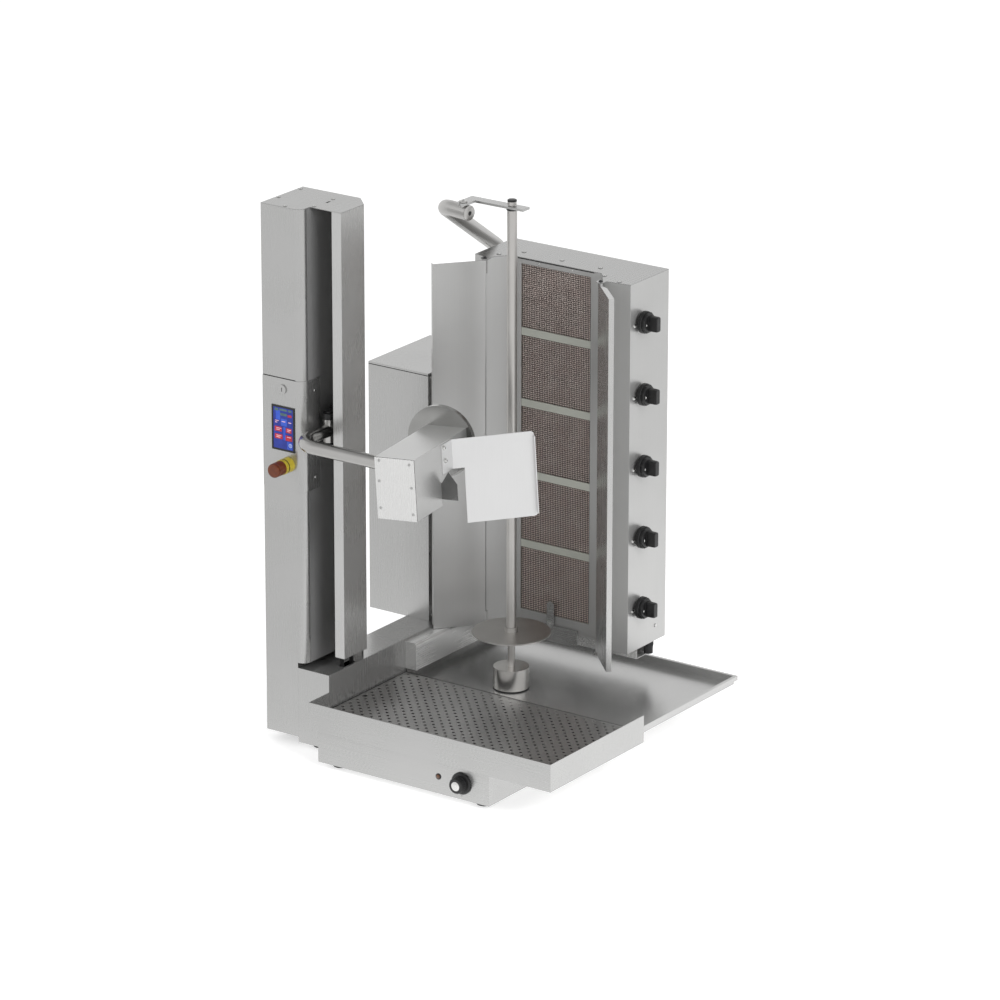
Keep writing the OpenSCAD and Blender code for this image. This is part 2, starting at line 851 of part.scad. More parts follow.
module blade_motor() color("gray") head_place() difference() {
  bar_y(blade_u, blade_motor_v0, blade_motor_v1, blade_w, blade_motor_r);
  bar_y(blade_u, blade_motor_v1 - shaft_bite, blade_motor_v1 + over, blade_w, shaft_r + run);
}

module blade_shaft() color("lightgray") head_place()
  bar_y(blade_u, blade_motor_v1 - shaft_bite, blade_v + blade_t, blade_w, shaft_r);

// Round blade with a bevelled edge and its hub
module round_blade() color("lightgray") head_place() difference() {
  translate([blade_u, blade_v, blade_w]) rotate([-90, 0, 0]) rotate_extrude($fn = 2 * smooth)
    polygon([[0, 0], [blade_r, 0], [blade_r - blade_bevel, blade_t], [hub_r, blade_t],
      [hub_r, blade_t + hub_t], [0, blade_t + hub_t]]);
  bar_y(blade_u, blade_v - over, blade_v + blade_t, blade_w, shaft_r);
}

// Dish behind the blade, with a rim round its upper part
module blade_guard() color("silver") head_place() difference() {
  bar_y(blade_u, head_l, head_l + dish_rim, blade_w, dish_d / 2);
  bar_y(blade_u, head_l + dish_t, head_l + dish_rim + over, blade_w, dish_d / 2 - dish_t);
  bar_y(blade_u, head_l - over, head_l + dish_rim, blade_w, dish_hole_r);
  block(blade_u - dish_d, blade_u + dish_d, head_l + dish_t, head_l + dish_rim + over,
    blade_w - dish_d, blade_w + dish_open_w);
}

// Plate with round corners, standing in the XZ plane
module corner_plate(x0, x1, z0, z1, t, r) {
  block(x0 + r, x1 - r, 0, t, z0, z1);
  block(x0, x1, 0, t, z0 + r, z1 - r);
  for (x = [x0 + r, x1 - r]) for (z = [z0 + r, z1 - r]) bar_y(x, 0, t, z, r);
}

// Thickness guard: a tab screwed to the head's right side, then a wide slanted plate
module guard_plate() color([0.95, 0.95, 0.95]) head_place() {
  block(head_w / 2, head_w / 2 + guard_t, guard_v0, guard_v1 + guard_t, 0, guard_top);
  translate([head_w / 2 + guard_t * sin(guard_angle), guard_v1, 0]) rotate([0, 0, guard_angle]) {
    difference() {
      corner_plate(0, guard_w, guard_top + guard_notch - guard_h, guard_top, guard_t,
        guard_corner);
      block(-over, guard_tab_w, -over, over, -guard_h, -guard_notch);
    }
    block(0, guard_corner + over, 0, guard_t, 0, guard_top);
    block(guard_w - guard_t, guard_w, -guard_hem, 0, guard_top + guard_corner - guard_h,
      guard_top - guard_corner);
    block(guard_w - guard_t, guard_w, 0, guard_t, guard_top + guard_corner - guard_h,
      guard_top - guard_corner);
  }
}

// Outlet plate with a peaked top, on a foot that fills the head's step
module slice_chute() color("silver") head_place() {
  block(head_w / 2 - chute_foot, head_w / 2, head_step_v, head_step_v + sheet, chute_w0 + over,
    chute_w1);
  translate([head_w / 2 - sheet, head_step_v + sheet, 0]) rotate([90, 0, 0])
    linear_extrude(sheet) polygon([[0, chute_w0], [chute_l, chute_w0], [chute_l, chute_w1],
      [chute_l / 2, chute_peak], [2 * sheet, chute_w1], [0, chute_w1]]);
}

// Drip tray that pulls out to the front, low where the rail and the rear pan are
module drip_tray() color("silver") place() {
  block(tray_x0, tray_x1, tray_y0, tray_y1, tray_z0, tray_z0 + sheet);
  block(tray_x0, tray_x1, tray_y0, tray_y0 + sheet, tray_z0, tray_z1);
  block(tray_x1 - sheet, tray_x1, tray_y0, tray_y1, tray_z0, tray_z1);
  block(tray_x0, tray_x0 + sheet, tray_y0, -gap, tray_z0, tray_z1);
  block(tray_x0, tray_x0 + sheet, -over, tray_y1, tray_z0, tray_z0 + tray_side_low);
  block(tray_x0, tray_x1 - sheet, tray_y1 - sheet, tray_y1, tray_z0, tray_z0 + tray_low);
}

module drip_plate() color("silver") place() {
  x0 = tray_x0 + dplate_gap;
  x1 = tray_x1 - dplate_gap;
  difference() {
    block(x0, x1, tray_y0 + dplate_gap, tray_y1 + dplate_over, dplate_z - sheet, dplate_z);
    bar_z(x0 + finger_x, tray_y0 + finger_y, dplate_z - over, dplate_z + over, finger_r);
  }
  for (x = [x0, x1 - sheet])
    block(x, x + sheet, tray_y0 + dplate_gap, pan_y0 - dplate_leg_end, tray_z0 + sheet,
      dplate_z - sheet);
}

// Shallow pan behind the tray, with a collar round the drive shaft and a drip strip in front
module rear_pan() color("silver") place() {
  rim_z = pan_floor + pan_rim;
  back = pan_y1 - pan_lip;
  side = pan_x1 - pan_lip;
  difference() {
    union() {
      block(pan_x0, side, pan_rim_y, back, pan_floor - sheet, pan_floor);
      bar_z(spit_x, spit_y, pan_floor - sheet, pan_floor + collar_h, collar_r1);
    }
    bar_z(spit_x, spit_y, pan_floor, pan_floor + pan_rim, collar_r0);
    bar_z(spit_x, spit_y, pan_floor - over, pan_floor + over, shaft_hole_r);
  }
  block(pan_x0, side, pan_y0, pan_rim_y - run, pan_floor - sheet, pan_floor);
  block(pan_x0, pan_x0 + sheet, pan_rim_y, back, pan_floor, rim_z);
  block(side - sheet, side, pan_rim_y, back, pan_floor - sheet, rim_z);
  block(side - sheet, pan_x1, pan_rim_y, pan_y1, rim_z - sheet, rim_z);
  block(pan_x1 - sheet, pan_x1, pan_rim_y, pan_y1, rim_z - pan_lip_h, rim_z);
  block(pan_x0, side, back - sheet, back, pan_floor - sheet, rim_z);
  block(pan_x0, pan_x1, back - sheet, pan_y1, rim_z - sheet, rim_z);
  block(pan_x0, pan_x1, pan_y1 - sheet, pan_y1, rim_z - pan_lip_h, rim_z);
}

// Box section with one round edge, along Y, closed at the front
module beam(x0, x1, y0, y1, z0, z1, r) translate([0, y1, 0]) rotate([90, 0, 0]) difference() {
  linear_extrude(y1 - y0) union() {
    translate([x0, z0]) square([x1 - x0 - r, z1 - z0]);
    translate([x0, z0]) square([x1 - x0, z1 - z0 - r]);
    translate([x1 - r, z1 - r]) circle(r = r, $fn = smooth);
  }
  translate([x0 + beam_wall, z0 + beam_wall, -over]) linear_extrude(y1 - y0 - beam_wall + over)
    square([x1 - x0 - beam_wall - r / 2, z1 - z0 - beam_wall - r / 2]);
}

// Side beam on the rail and the cross beam that the cabinet slides on
module slide_beams() color("silver") place() {
  beam(rail_x1, beam_x1, beam_y0, beam_y1, beam_z0, beam_z1, beam_r);
  difference() {
    block(beam_x1 - beam_r / 2, cross_x1, cross_y0, cross_y1, cross_z0, beam_z1);
    block(beam_x1 - beam_r, cross_x1 + over, cross_y0 + beam_wall, cross_y1 - beam_wall,
      cross_z0 + beam_wall, beam_z1 - beam_wall);
  }
}

// The cabinet's outline in plan, drawn in by a distance
function cabinet_points(d) = [
  [cab_x0 + d, cab_y1 - d], [cab_x0 + d, cab_y0 + d],
  [cab_mid - fold_half + d / 2, cab_fold_y + d], [cab_mid - recess_half - d / 2, recess_y + d],
  [cab_mid + recess_half + d / 2, recess_y + d], [cab_mid + fold_half - d / 2, cab_fold_y + d],
  [cab_x1 - d, cab_y0 + d], [cab_x1 - d, cab_y1 - d]];

module cabinet_shell() color("silver") place() {
  difference() {
    translate([0, 0, cab_z0]) linear_extrude(cab_h - sheet) polygon(cabinet_points(0));
    translate([0, 0, cab_z0 + sheet]) linear_extrude(cab_h) polygon(cabinet_points(sheet));
    block(cab_mid - window_half, cab_mid + window_half, recess_y - over, recess_y + over, window_z0,
      window_z0 + burners * burner_pitch - separator);
    for (i = [0:burners - 1])
      bar_x(cab_x1 - over, cab_x1 + over, knob_y, knob_z0 + i * burner_pitch, spindle_r + gap);
    bar_z(inlet_x, inlet_y, cab_z0 - over, cab_z0 + over, inlet_r);
  }
  for (x = [cab_x0 + pad_w, cab_x1 - 4 * pad_w]) block(x, x + pad_w, cross_y0 + over,
    cross_y1 - over, cab_z0 - pad_t, cab_z0);
  for (side = [-1, 1]) {
    x = cab_mid + side * pin_half;
    bar_z(x, pin_y, ear_z0, ear_z0 + plate, ear_r);
    block(x - ear_r / 2, x + ear_r / 2, pin_y, pin_y + ear_r + over, ear_z0, ear_z0 + plate);
    block(x - ear_r / 2, x + ear_r / 2, pin_y + ear_r + ear_fold, pin_y + ear_r + over, ear_z0,
      cab_z0 + sheet);
    bar_z(x, pin_y, ear_z0, ear_z0 + plate + pin_len, hinge_r);
  }
  translate([lever_px, recess_y, lever_pz]) rotate([90, 0, 0]) {
    cylinder(h = recess_y - lock_lever_y - run, r = lever_pin_r, $fn = smooth);
    cylinder(h = recess_y - lock_lever_y - lock_lever_t - gap, r = lever_boss_r, $fn = smooth);
    cylinder(h = recess_y - lock_lever_y + gap, r = lever_pin_r, $fn = smooth);
    translate([0, 0, recess_y - lock_lever_y + gap])
      cylinder(h = lever_head_t, r = lever_boss_r, $fn = smooth);
  }
}

// Top plate with the wings' upper hinge ears and pins
module cabinet_top() color("silver") place() {
  translate([0, 0, cab_z1 - sheet]) linear_extrude(sheet) {
    polygon(cabinet_points(0));
    for (side = [-1, 1]) {
      x = cab_mid + side * pin_half;
      translate([x, pin_y]) circle(r = ear_r, $fn = smooth);
      translate([x - ear_r, pin_y]) square([2 * ear_r, ear_r + 1]);
    }
  }
  for (side = [-1, 1])
    bar_z(cab_mid + side * pin_half, pin_y, cab_z1 - sheet - pin_len, cab_z1, hinge_r);
}

// Frame behind the front sheet that divides the burner window
module burner_frame() color([0.5, 0.53, 0.5]) place() difference() {
  block(cab_mid - window_half - frame_margin, cab_mid + window_half + frame_margin,
    recess_y + sheet, recess_y + sheet + frame_t, window_z0 - frame_margin,
    window_z0 + burners * burner_pitch - separator + frame_margin - frame_top_gap);
  for (i = [0:burners - 1])
    block(cab_mid - window_half, cab_mid + window_half, recess_y, recess_y + over,
      window_z0 + i * burner_pitch, window_z0 + (i + 1) * burner_pitch - separator);
}

// One layer of each burner, inside its box
module layers(y0, t) for (i = [0:burners - 1])
  block(cab_mid - window_half - burner_box_inset, cab_mid + window_half + burner_box_inset,
    y0, y0 + t, window_z0 + i * burner_pitch - burner_box_inset,
    window_z0 + (i + 1) * burner_pitch - separator + burner_box_inset);

module burner_meshes() color([0.3, 0.27, 0.25]) place() layers(mesh_y, mesh_t);

module burner_plaques() color([0.8, 0.7, 0.62]) place()
  layers(mesh_y + mesh_t + plaque_gap, plaque_t);

// Five burner boxes with the mixing tubes that the jets blow into
module burner_boxes() color("gray") place() for (i = [0:burners - 1]) {
  x1 = cab_mid + window_half + burner_box_inset + burner_box_wall;
  x0 = cab_mid - window_half - burner_box_inset - burner_box_wall;
  z0 = window_z0 + i * burner_pitch - burner_box_inset - burner_box_wall;
  z1 = window_z0 + (i + 1) * burner_pitch - separator + burner_box_inset + burner_box_wall;
  z = knob_z0 + i * burner_pitch;
  difference() {
    union() {
      block(x0, x1, mesh_y, mesh_y + burner_box_d, z0, z1);
      bar_x(x1 - burner_box_wall, x1 + venturi_l, manifold_y, z, port_r);
    }
    block(x0 + burner_box_wall, x1 - burner_box_wall, mesh_y - over,
      mesh_y + burner_box_d - burner_box_wall, z0 + burner_box_wall, z1 - burner_box_wall);
    bar_x(x1 - over, x1 + venturi_l + over, manifold_y, z, jet_r);
  }
}

// Upright gas pipe with a valve for each burner
module gas_manifold() color([0.72, 0.6, 0.3]) place() {
  bar_z(manifold_x, manifold_y, cab_z0 + sheet, knob_z0 + (burners - 1) * burner_pitch + valve_l,
    manifold_r);
  block(manifold_x - manifold_r, inlet_x + manifold_r, manifold_y, inlet_y + manifold_r,
    cab_z0 + inlet_in, cab_z0 + inlet_in + 2 * manifold_r);
  for (i = [0:burners - 1]) {
    z = knob_z0 + i * burner_pitch;
    bar_x(cab_x1 - sheet - valve_l, cab_x1 - sheet, knob_y, z, valve_r);
    bar_x(cab_x1 - sheet - over, spindle_x1, knob_y, z, spindle_r);
    block(manifold_x - manifold_r, cab_x1 - sheet - valve_l + over, knob_y - valve_r / 2,
      manifold_y, z - manifold_r, z + manifold_r);
    bar_x(cab_mid + window_half + venturi_l - over, manifold_x, manifold_y, z, jet_r);
  }
}

module gas_inlet() color([0.1, 0.1, 0.1]) place() {
  bar_z(inlet_x, inlet_y, cab_z0 - inlet_len, cab_z0 + inlet_in, inlet_r);
  translate([inlet_x, inlet_y, cab_z0 - inlet_nut_h])
    cylinder(h = inlet_nut_h, r = inlet_nut_r, $fn = 6);
}

// Wing on two barrels: a slanted leaf with a folded outer edge, and on the right a folded top
module wing(side, angle, z0, hem_z0) {
  x = cab_mid + side * pin_half;
  difference() {
    translate([x, pin_y, 0]) rotate([0, 0, side * angle - 90]) {
      y0 = side > 0 ? -barrel_r : barrel_r - wing_t;
      hem_y0 = side > 0 ? -barrel_r : barrel_r - wing_hem;
      block(0, wing_l, y0, y0 + wing_t, z0, wing_z1);
      block(wing_l - wing_t, wing_l, hem_y0, hem_y0 + wing_hem, hem_z0, wing_z1);
      if (side > 0) translate([0, y0, wing_z1 - wing_t]) linear_extrude(wing_t)
        polygon([[wing_fold[0], 0], [wing_l, 0], [wing_l, wing_hem], [wing_fold[1], wing_hem]]);
      for (z = [z0, wing_z1 - barrel_len]) translate([0, 0, z])
        cylinder(h = barrel_len, r = barrel_r, $fn = smooth);
    }
    bar_z(x, pin_y, z0 - over, wing_z1 + over, hinge_r + run);
  }
}

module left_wing() color("silver") place() wing(-1, wing_left_angle, wing_left_z0, rail_h + hem_gap);

module right_wing() color("silver") place() wing(1, wing_angle, wing_z0, wing_z0);

// Gas knob: neck, round skirt, hub and a square grip across it
module gas_knob(i) place() translate([cab_x1 + knob_gap, knob_y, knob_z0 + i * burner_pitch])
  rotate([0, 90, 0]) difference() {
    union() {
      cylinder(h = knob_neck_l + over, r = knob_neck_r, $fn = smooth);
      translate([0, 0, knob_neck_l]) {
        cylinder(h = skirt_t, r = knob_d / 2, $fn = smooth);
        cylinder(h = knob_hub_t - knob_neck_l, r = hub_d / 2, $fn = smooth);
        translate([-grip_l / 2, -grip_w / 2, 0])
          cube([grip_l, grip_w, knob_hub_t - knob_neck_l + grip_h]);
      }
    }
    translate([0, 0, -over])
      cylinder(h = over + spindle_x1 - cab_x1 - knob_gap + gap, r = spindle_r + run, $fn = smooth);
  }

module gas_knob_1() color("black") gas_knob(4);
module gas_knob_2() color("black") gas_knob(3);
module gas_knob_3() color("black") gas_knob(2);
module gas_knob_4() color("black") gas_knob(1);
module gas_knob_5() color("black") gas_knob(0);

// Lever that locks the cabinet's slide
module slide_lock() color("silver") place() translate([0, lock_lever_y + lock_lever_t, 0])
  rotate([90, 0, 0]) linear_extrude(lock_lever_t) difference() {
    union() {
      translate([lever_px - lever_tab_w / 2, lever_plate_z0 + lever_round])
        square([lever_tab_w, lever_tab_top - lever_plate_z0 - lever_round - lever_tab_w / 2]);
      translate([lever_px, lever_tab_top - lever_tab_w / 2])
        circle(r = lever_tab_w / 2, $fn = smooth);
      translate([lever_plate_x0, lever_plate_z0])
        square([lever_plate_x1 - lever_plate_x0 - lever_round, lever_plate_z1 - lever_plate_z0]);
      translate([lever_plate_x0, lever_plate_z0 + lever_round])
        square([lever_plate_x1 - lever_plate_x0, lever_plate_z1 - lever_plate_z0 - lever_round]);
      translate([lever_plate_x1 - lever_round, lever_plate_z0 + lever_round])
        circle(r = lever_round, $fn = smooth);
    }
    translate([lever_px, lever_pz]) circle(r = lever_pin_r + run, $fn = smooth);
  }

// Points of a round fillet at a corner of a path, from the leg in to the leg out
function unit(v) = v / norm(v);
function fillet(p, a, b, r) =
  let (u = unit(a - p), w = unit(b - p), half = acos(u * w) / 2,
    centre = p + unit(u + w) * r / sin(half), side = unit(p - centre),
    along = unit(b - a - ((b - a) * side) * side))
  [for (k = [0:arm_steps]) let (t = (90 - half) * (2 * k / arm_steps - 1))
    centre + r * (cos(t) * side + sin(t) * along)];

// Round tube along a path, its rings square to the path
module sweep(path, r, sides) {
  last = len(path) - 1;
  rings = [for (k = [0:last]) let (
      t = unit(path[min(k + 1, last)] - path[max(k - 1, 0)]),
      u = unit(cross(arm_side, t)), v = cross(t, u))
    for (i = [0:sides - 1]) path[k] + r * (cos(360 * i / sides) * u + sin(360 * i / sides) * v)];
  faces = concat([[for (i = [0:sides - 1]) i]],
    [for (k = [0:last - 1]) for (i = [0:sides - 1]) let (n = (i + 1) % sides)
      for (f = [[k * sides + i, (k + 1) * sides + i, (k + 1) * sides + n],
        [k * sides + i, (k + 1) * sides + n, k * sides + n]]) f],
    [[for (i = [sides - 1:-1:0]) last * sides + i]]);
  polyhedron(rings, faces, convexity = 4);
}

// Round post that bends over the spit and ends over the latch
module support_arm() color("lightgray") place() {
  path = concat([arm_points[0]], fillet(arm_points[1], arm_points[0], arm_points[2], arm_bends[0]),
    fillet(arm_points[2], arm_points[1], arm_points[3], arm_bends[1]), [arm_points[3]]);
  block(foot_plate_x0, foot_plate_x1, foot_plate_y0, foot_plate_y1, rail_h, rail_h + foot_plate_t);
  sweep(path, post_r, arm_sides);
  bar_z(latch_p.x, latch_p.y, arm_high_z, latch_z - gap / 2, latch_seat_r);
  bar_z(latch_p.x, latch_p.y, arm_high_z, latch_z + latch_t + gap + latch_head_h, latch_pin_r);
  bar_z(latch_p.x, latch_p.y, latch_z + latch_t + gap, latch_z + latch_t + gap + latch_head_h,
    latch_seat_r);
}

// Swinging strap with a flared slot that holds the spit's neck
module top_latch() color("silver") place() translate([0, 0, latch_z]) linear_extrude(latch_t)
  difference() {
    union() {
      translate([latch_p.x - latch_half, latch_p.y])
        square([2 * latch_half, spit_y + latch_half - latch_p.y]);
      translate(latch_p) circle(r = latch_half, $fn = smooth);
      translate([latch_p.x, spit_y - latch_half])
        square([spit_x + latch_tab - latch_p.x, 2 * latch_half]);
    }
    translate(latch_p) circle(r = latch_pin_r + run, $fn = smooth);
    translate([spit_x, spit_y]) {
      circle(r = neck_r + gap, $fn = smooth);
      rotate(atan2(spit_y - latch_p.y, spit_x - latch_p.x))
        polygon([[-neck_r - gap, 0], [neck_r + gap, 0],
          [neck_r + gap + latch_flare, latch_half + over + over],
          [-neck_r - gap - latch_flare, latch_half + over + over]]);
    }
  }

// Spit: square seat in the cup, the meat disc, the rod, a neck and a cap
module spit() color("lightgray") place() {
  bar_z(spit_x, spit_y, cup_z0 + cup_h - rod_seat, disc_z - disc_t, lower_rod_r);
  bar_z(spit_x, spit_y, disc_z - disc_t, disc_z, disc_d / 2);
  bar_z(spit_x, spit_y, disc_z, disc_z + disc_hub_h, disc_hub_r);
  bar_z(spit_x, spit_y, disc_z, spit_z - cap_len - neck_len, rod_d / 2);
  bar_z(spit_x, spit_y, spit_z - cap_len - neck_len, spit_z - cap_len, neck_r);
  bar_z(spit_x, spit_y, spit_z - cap_len, spit_z, cap_r);
}

module drive_cup() color("silver") place() {
  difference() {
    bar_z(spit_x, spit_y, cup_z0, cup_z0 + cup_h, cup_d / 2);
    bar_z(spit_x, spit_y, cup_z0 - over, cup_z0 + cup_under_d, cup_under_r);
    bar_z(spit_x, spit_y, cup_z0 + cup_h - rod_seat - run, cup_z0 + cup_h + over,
      lower_rod_r + run);
  }
  bar_z(spit_x, spit_y, motor_top - motor_bite, cup_z0 + cup_under_d, drive_shaft_r);
}

module spit_motor() color("gray") place() difference() {
  bar_z(spit_x, spit_y, motor_top - spit_motor_h, motor_top, spit_motor_r);
  bar_z(spit_x, spit_y, motor_top - motor_bite - gap, motor_top + over, drive_shaft_r + run);
}

// Housing of the electrics behind the tower, with the mains cable's gland
module rear_box() color("silver") place() difference() {
  union() {
    difference() {
      block(box_x0, box_x1, box_y0, box_y1, box_z0, box_z1);
      block(box_x0 + sheet, box_x1 - sheet, box_y0 + sheet, box_y1 - sheet, box_z0 + sheet,
        box_z1 - sheet);
      bar_x(box_x1 - over, box_x1 + over, wire_hole_y, wire_hole_z, wire_hole_r);
    }
    bar_y(gland_x, box_y1 - sheet, box_y1 + gland_len, gland_z, gland_r);
    translate([gland_x, box_y1, gland_z]) rotate([-90, 0, 0])
      cylinder(h = gland_nut_t, r = gland_nut_r, $fn = 6);
  }
  bar_y(gland_x, box_y1 - over, box_y1 + gland_len + over, gland_z, gland_bore);
}

// Thermostat dial: skirt, fluted grip
module thermostat_knob() color("black") place()
  translate([dial_x, -nose_len - dial_gap, dial_z]) rotate([90, 0, 0]) difference() {
    union() {
      cylinder(h = dial_skirt_t, r = dial_d / 2, $fn = smooth);
      cylinder(h = dial_skirt_t + dial_grip_t, r = dial_grip_r, $fn = smooth);
    }
    translate([0, 0, -over])
      cylinder(h = over + dial_spindle_l + gap, r = dial_spindle_r + run, $fn = smooth);
  }

module pilot_lamp() color([0.95, 0.6, 0.15]) place() {
  bar_y(lamp_x, -nose_len - lamp_lip_t, -nose_len, lamp_z, lamp_lip_r);
  bar_y(lamp_x, -nose_len - lamp_dome, -nose_len + lamp_body_l, lamp_z, lamp_r);
}

// Heater under the tray: a bent rod under the top sheet, its thermostat and the lead between
module heating_element() color([0.3, 0.3, 0.3]) place() {
  for (i = [0:element_rows])
    bar_x(element_x0, element_x1, element_y0 + i * element_step, element_z, element_r);
  for (i = [0:element_rows - 1])
    translate([i % 2 == 0 ? element_x1 : element_x0, element_y0 + (i + 0.5) * element_step,
      element_z]) rotate([0, 0, i % 2 == 0 ? -90 : 90]) rotate_extrude(angle = 180, $fn = smooth)
        translate([element_step / 2, 0]) circle(r = element_r, $fn = smooth);
  bar_y(dial_x, -nose_len + sheet, -nose_len + thermo_len, dial_z, thermo_r);
  bar_y(dial_x, -nose_len - dial_gap - dial_spindle_l, -nose_len + sheet + over, dial_z, dial_spindle_r);
  block(element_x0, dial_x, -nose_len + thermo_len - over, -nose_len + thermo_len,
    dial_z - element_r, dial_z + element_r);
  block(element_x0, element_x0 + over, -nose_len + thermo_len - over, element_y0,
    dial_z - element_r, dial_z + element_r);
  block(element_x0, element_x0 + over, element_y0 - over, element_y0, dial_z - element_r,
    element_z);
}

// Visible screws of the fixed casing: on the cap, the control panel and the rear housing
module casing_screws() color("lightgray") place() {
  for (p = cap_screws) bar_z(p.x, p.y, tower_h, tower_h + screw_h, screw_r);
  for (z = [panel_z + panel_screw, panel_z1 - panel_screw])
    bar_x(tower_w + panel_t, tower_w + panel_t + screw_h, panel_screw_y, z, screw_r);
  for (z = [box_z0 + box_screw, box_z1 - box_screw])
    bar_x(box_x1, box_x1 + screw_h, box_y0 + box_screw, z, screw_r);
}

base_box();
base_feet();
side_rail();
tower_shell();
tower_side_panel();
tower_cap();
slide_guard();
control_panel();
screen_bezel();
screen_glass();
estop_collar();
estop_button();
key_lock();
mast();
guide_rail();
lift_belt();
top_pulley();
drive_pulley();
lift_motor();
carriage();
arm_pivot_pin();
arm_tube();
head_housing();
head_cover();
blade_motor();
blade_shaft();
round_blade();
blade_guard();
guard_plate();
slice_chute();
drip_tray();
drip_plate();
rear_pan();
slide_beams();
cabinet_shell();
cabinet_top();
burner_frame();
burner_meshes();
burner_plaques();
burner_boxes();
gas_manifold();
gas_inlet();
left_wing();
right_wing();
gas_knob_1();
gas_knob_2();
gas_knob_3();
gas_knob_4();
gas_knob_5();
slide_lock();
support_arm();
top_latch();
spit();
drive_cup();
spit_motor();
rear_box();
thermostat_knob();
pilot_lamp();
heating_element();
casing_screws();
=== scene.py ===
"""Looks of an upright gas doner grill with a slicing arm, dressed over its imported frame.

Sizes are millimetres in the shop frame: x from the tower's left side to the right, y from the
tower's front to the back, z up from the base's underside. One function turns them into the row
frame's metres. Every new piece is a surface worked out as whole arrays.
"""

import logging
import math
from dataclasses import dataclass
from enum import Enum
from typing import Any, Sequence

import bpy
import numpy as np
from mathutils import Matrix, Vector
from numpy.typing import NDArray


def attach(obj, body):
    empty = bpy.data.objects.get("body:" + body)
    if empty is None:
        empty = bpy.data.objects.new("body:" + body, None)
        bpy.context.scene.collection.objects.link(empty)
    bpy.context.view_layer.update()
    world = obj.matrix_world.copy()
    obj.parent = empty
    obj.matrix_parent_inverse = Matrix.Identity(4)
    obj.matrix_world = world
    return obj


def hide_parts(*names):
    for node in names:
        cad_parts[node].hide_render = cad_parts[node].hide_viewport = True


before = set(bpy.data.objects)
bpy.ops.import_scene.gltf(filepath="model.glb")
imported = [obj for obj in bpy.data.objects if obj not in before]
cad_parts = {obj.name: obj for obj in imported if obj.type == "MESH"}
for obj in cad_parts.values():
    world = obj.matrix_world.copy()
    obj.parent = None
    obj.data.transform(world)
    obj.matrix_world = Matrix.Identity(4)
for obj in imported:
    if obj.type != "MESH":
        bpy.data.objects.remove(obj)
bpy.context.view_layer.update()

Array = NDArray[np.float64]
Colour = tuple[float, float, float, float]
Pair = tuple[float, float]
Spot = tuple[float, float, float]
Rect = tuple[float, float, float, float]
Box = tuple[float, float, float, float, float, float]
Tree = bpy.types.NodeTree
Links = dict[Any, Any]
UP, RIGHT, FRONT = (0, 0, 1), (1, 0, 0), (0, -1, 0)
LOG = logging.getLogger("grill")
SHOP_ORIGIN = np.array([399.5, 289.25, -12.0])


class Axis(Enum):
    """One of the frame's three directions."""

    X = 0
    Y = 1
    Z = 2


class Recess(Enum):
    """The drive that a screw's head has."""

    HEX = "hex"
    CROSS = "cross"


def metres(points: Array) -> Array:
    """Turn shop millimetres into the row frame's metres."""
    return (np.asarray(points, float) - SHOP_ORIGIN) / 1000.0


def linear(colour: str) -> Colour:
    """Turn an sRGB hex value into linear light.

    Args:
        colour: six hex digits.

    Returns:
        Red, green, blue and an alpha of 1.
    """
    s = np.array([int(colour[i:i + 2], 16) for i in (0, 2, 4)]) / 255.0
    r, g, b = np.where(s <= 0.04045, s / 12.92, ((s + 0.055) / 1.055) ** 2.4)
    return (float(r), float(g), float(b), 1.0)


def fresh_tree(owner: bpy.types.ID) -> Tree:
    """Turn a material's or a world's nodes on and give its emptied tree."""
    owner.use_nodes = True
    owner.node_tree.nodes.clear()
    return owner.node_tree


def add_node(tree: Tree, kind: str, settings: dict[str, Any] | None = None,
             links: Links | None = None) -> bpy.types.Node:
    """Add one node with its settings, values and links.

    Args:
        tree: the node tree.
        kind: the node's type name.
        settings: properties by name; "stops" fills a colour ramp with (place, hex colour) pairs.
        links: sockets by name or number, each given a value or another node's output.

    Returns:
        The new node.
    """
    node = tree.nodes.new(kind)
    for key, value in (settings or {}).items():
        if key != "stops":
            setattr(node, key, value)
            continue
        ramp = node.color_ramp.elements
        while len(ramp) < len(value):
            ramp.new(0.5)
        for stop, (place, colour) in zip(ramp, value):
            stop.position, stop.color = place, linear(colour)
    for socket, value in (links or {}).items():
        if isinstance(value, bpy.types.NodeSocket):
            tree.links.new(value, node.inputs[socket])
        else:
            node.inputs[socket].default_value = value
    return node


# Finishes

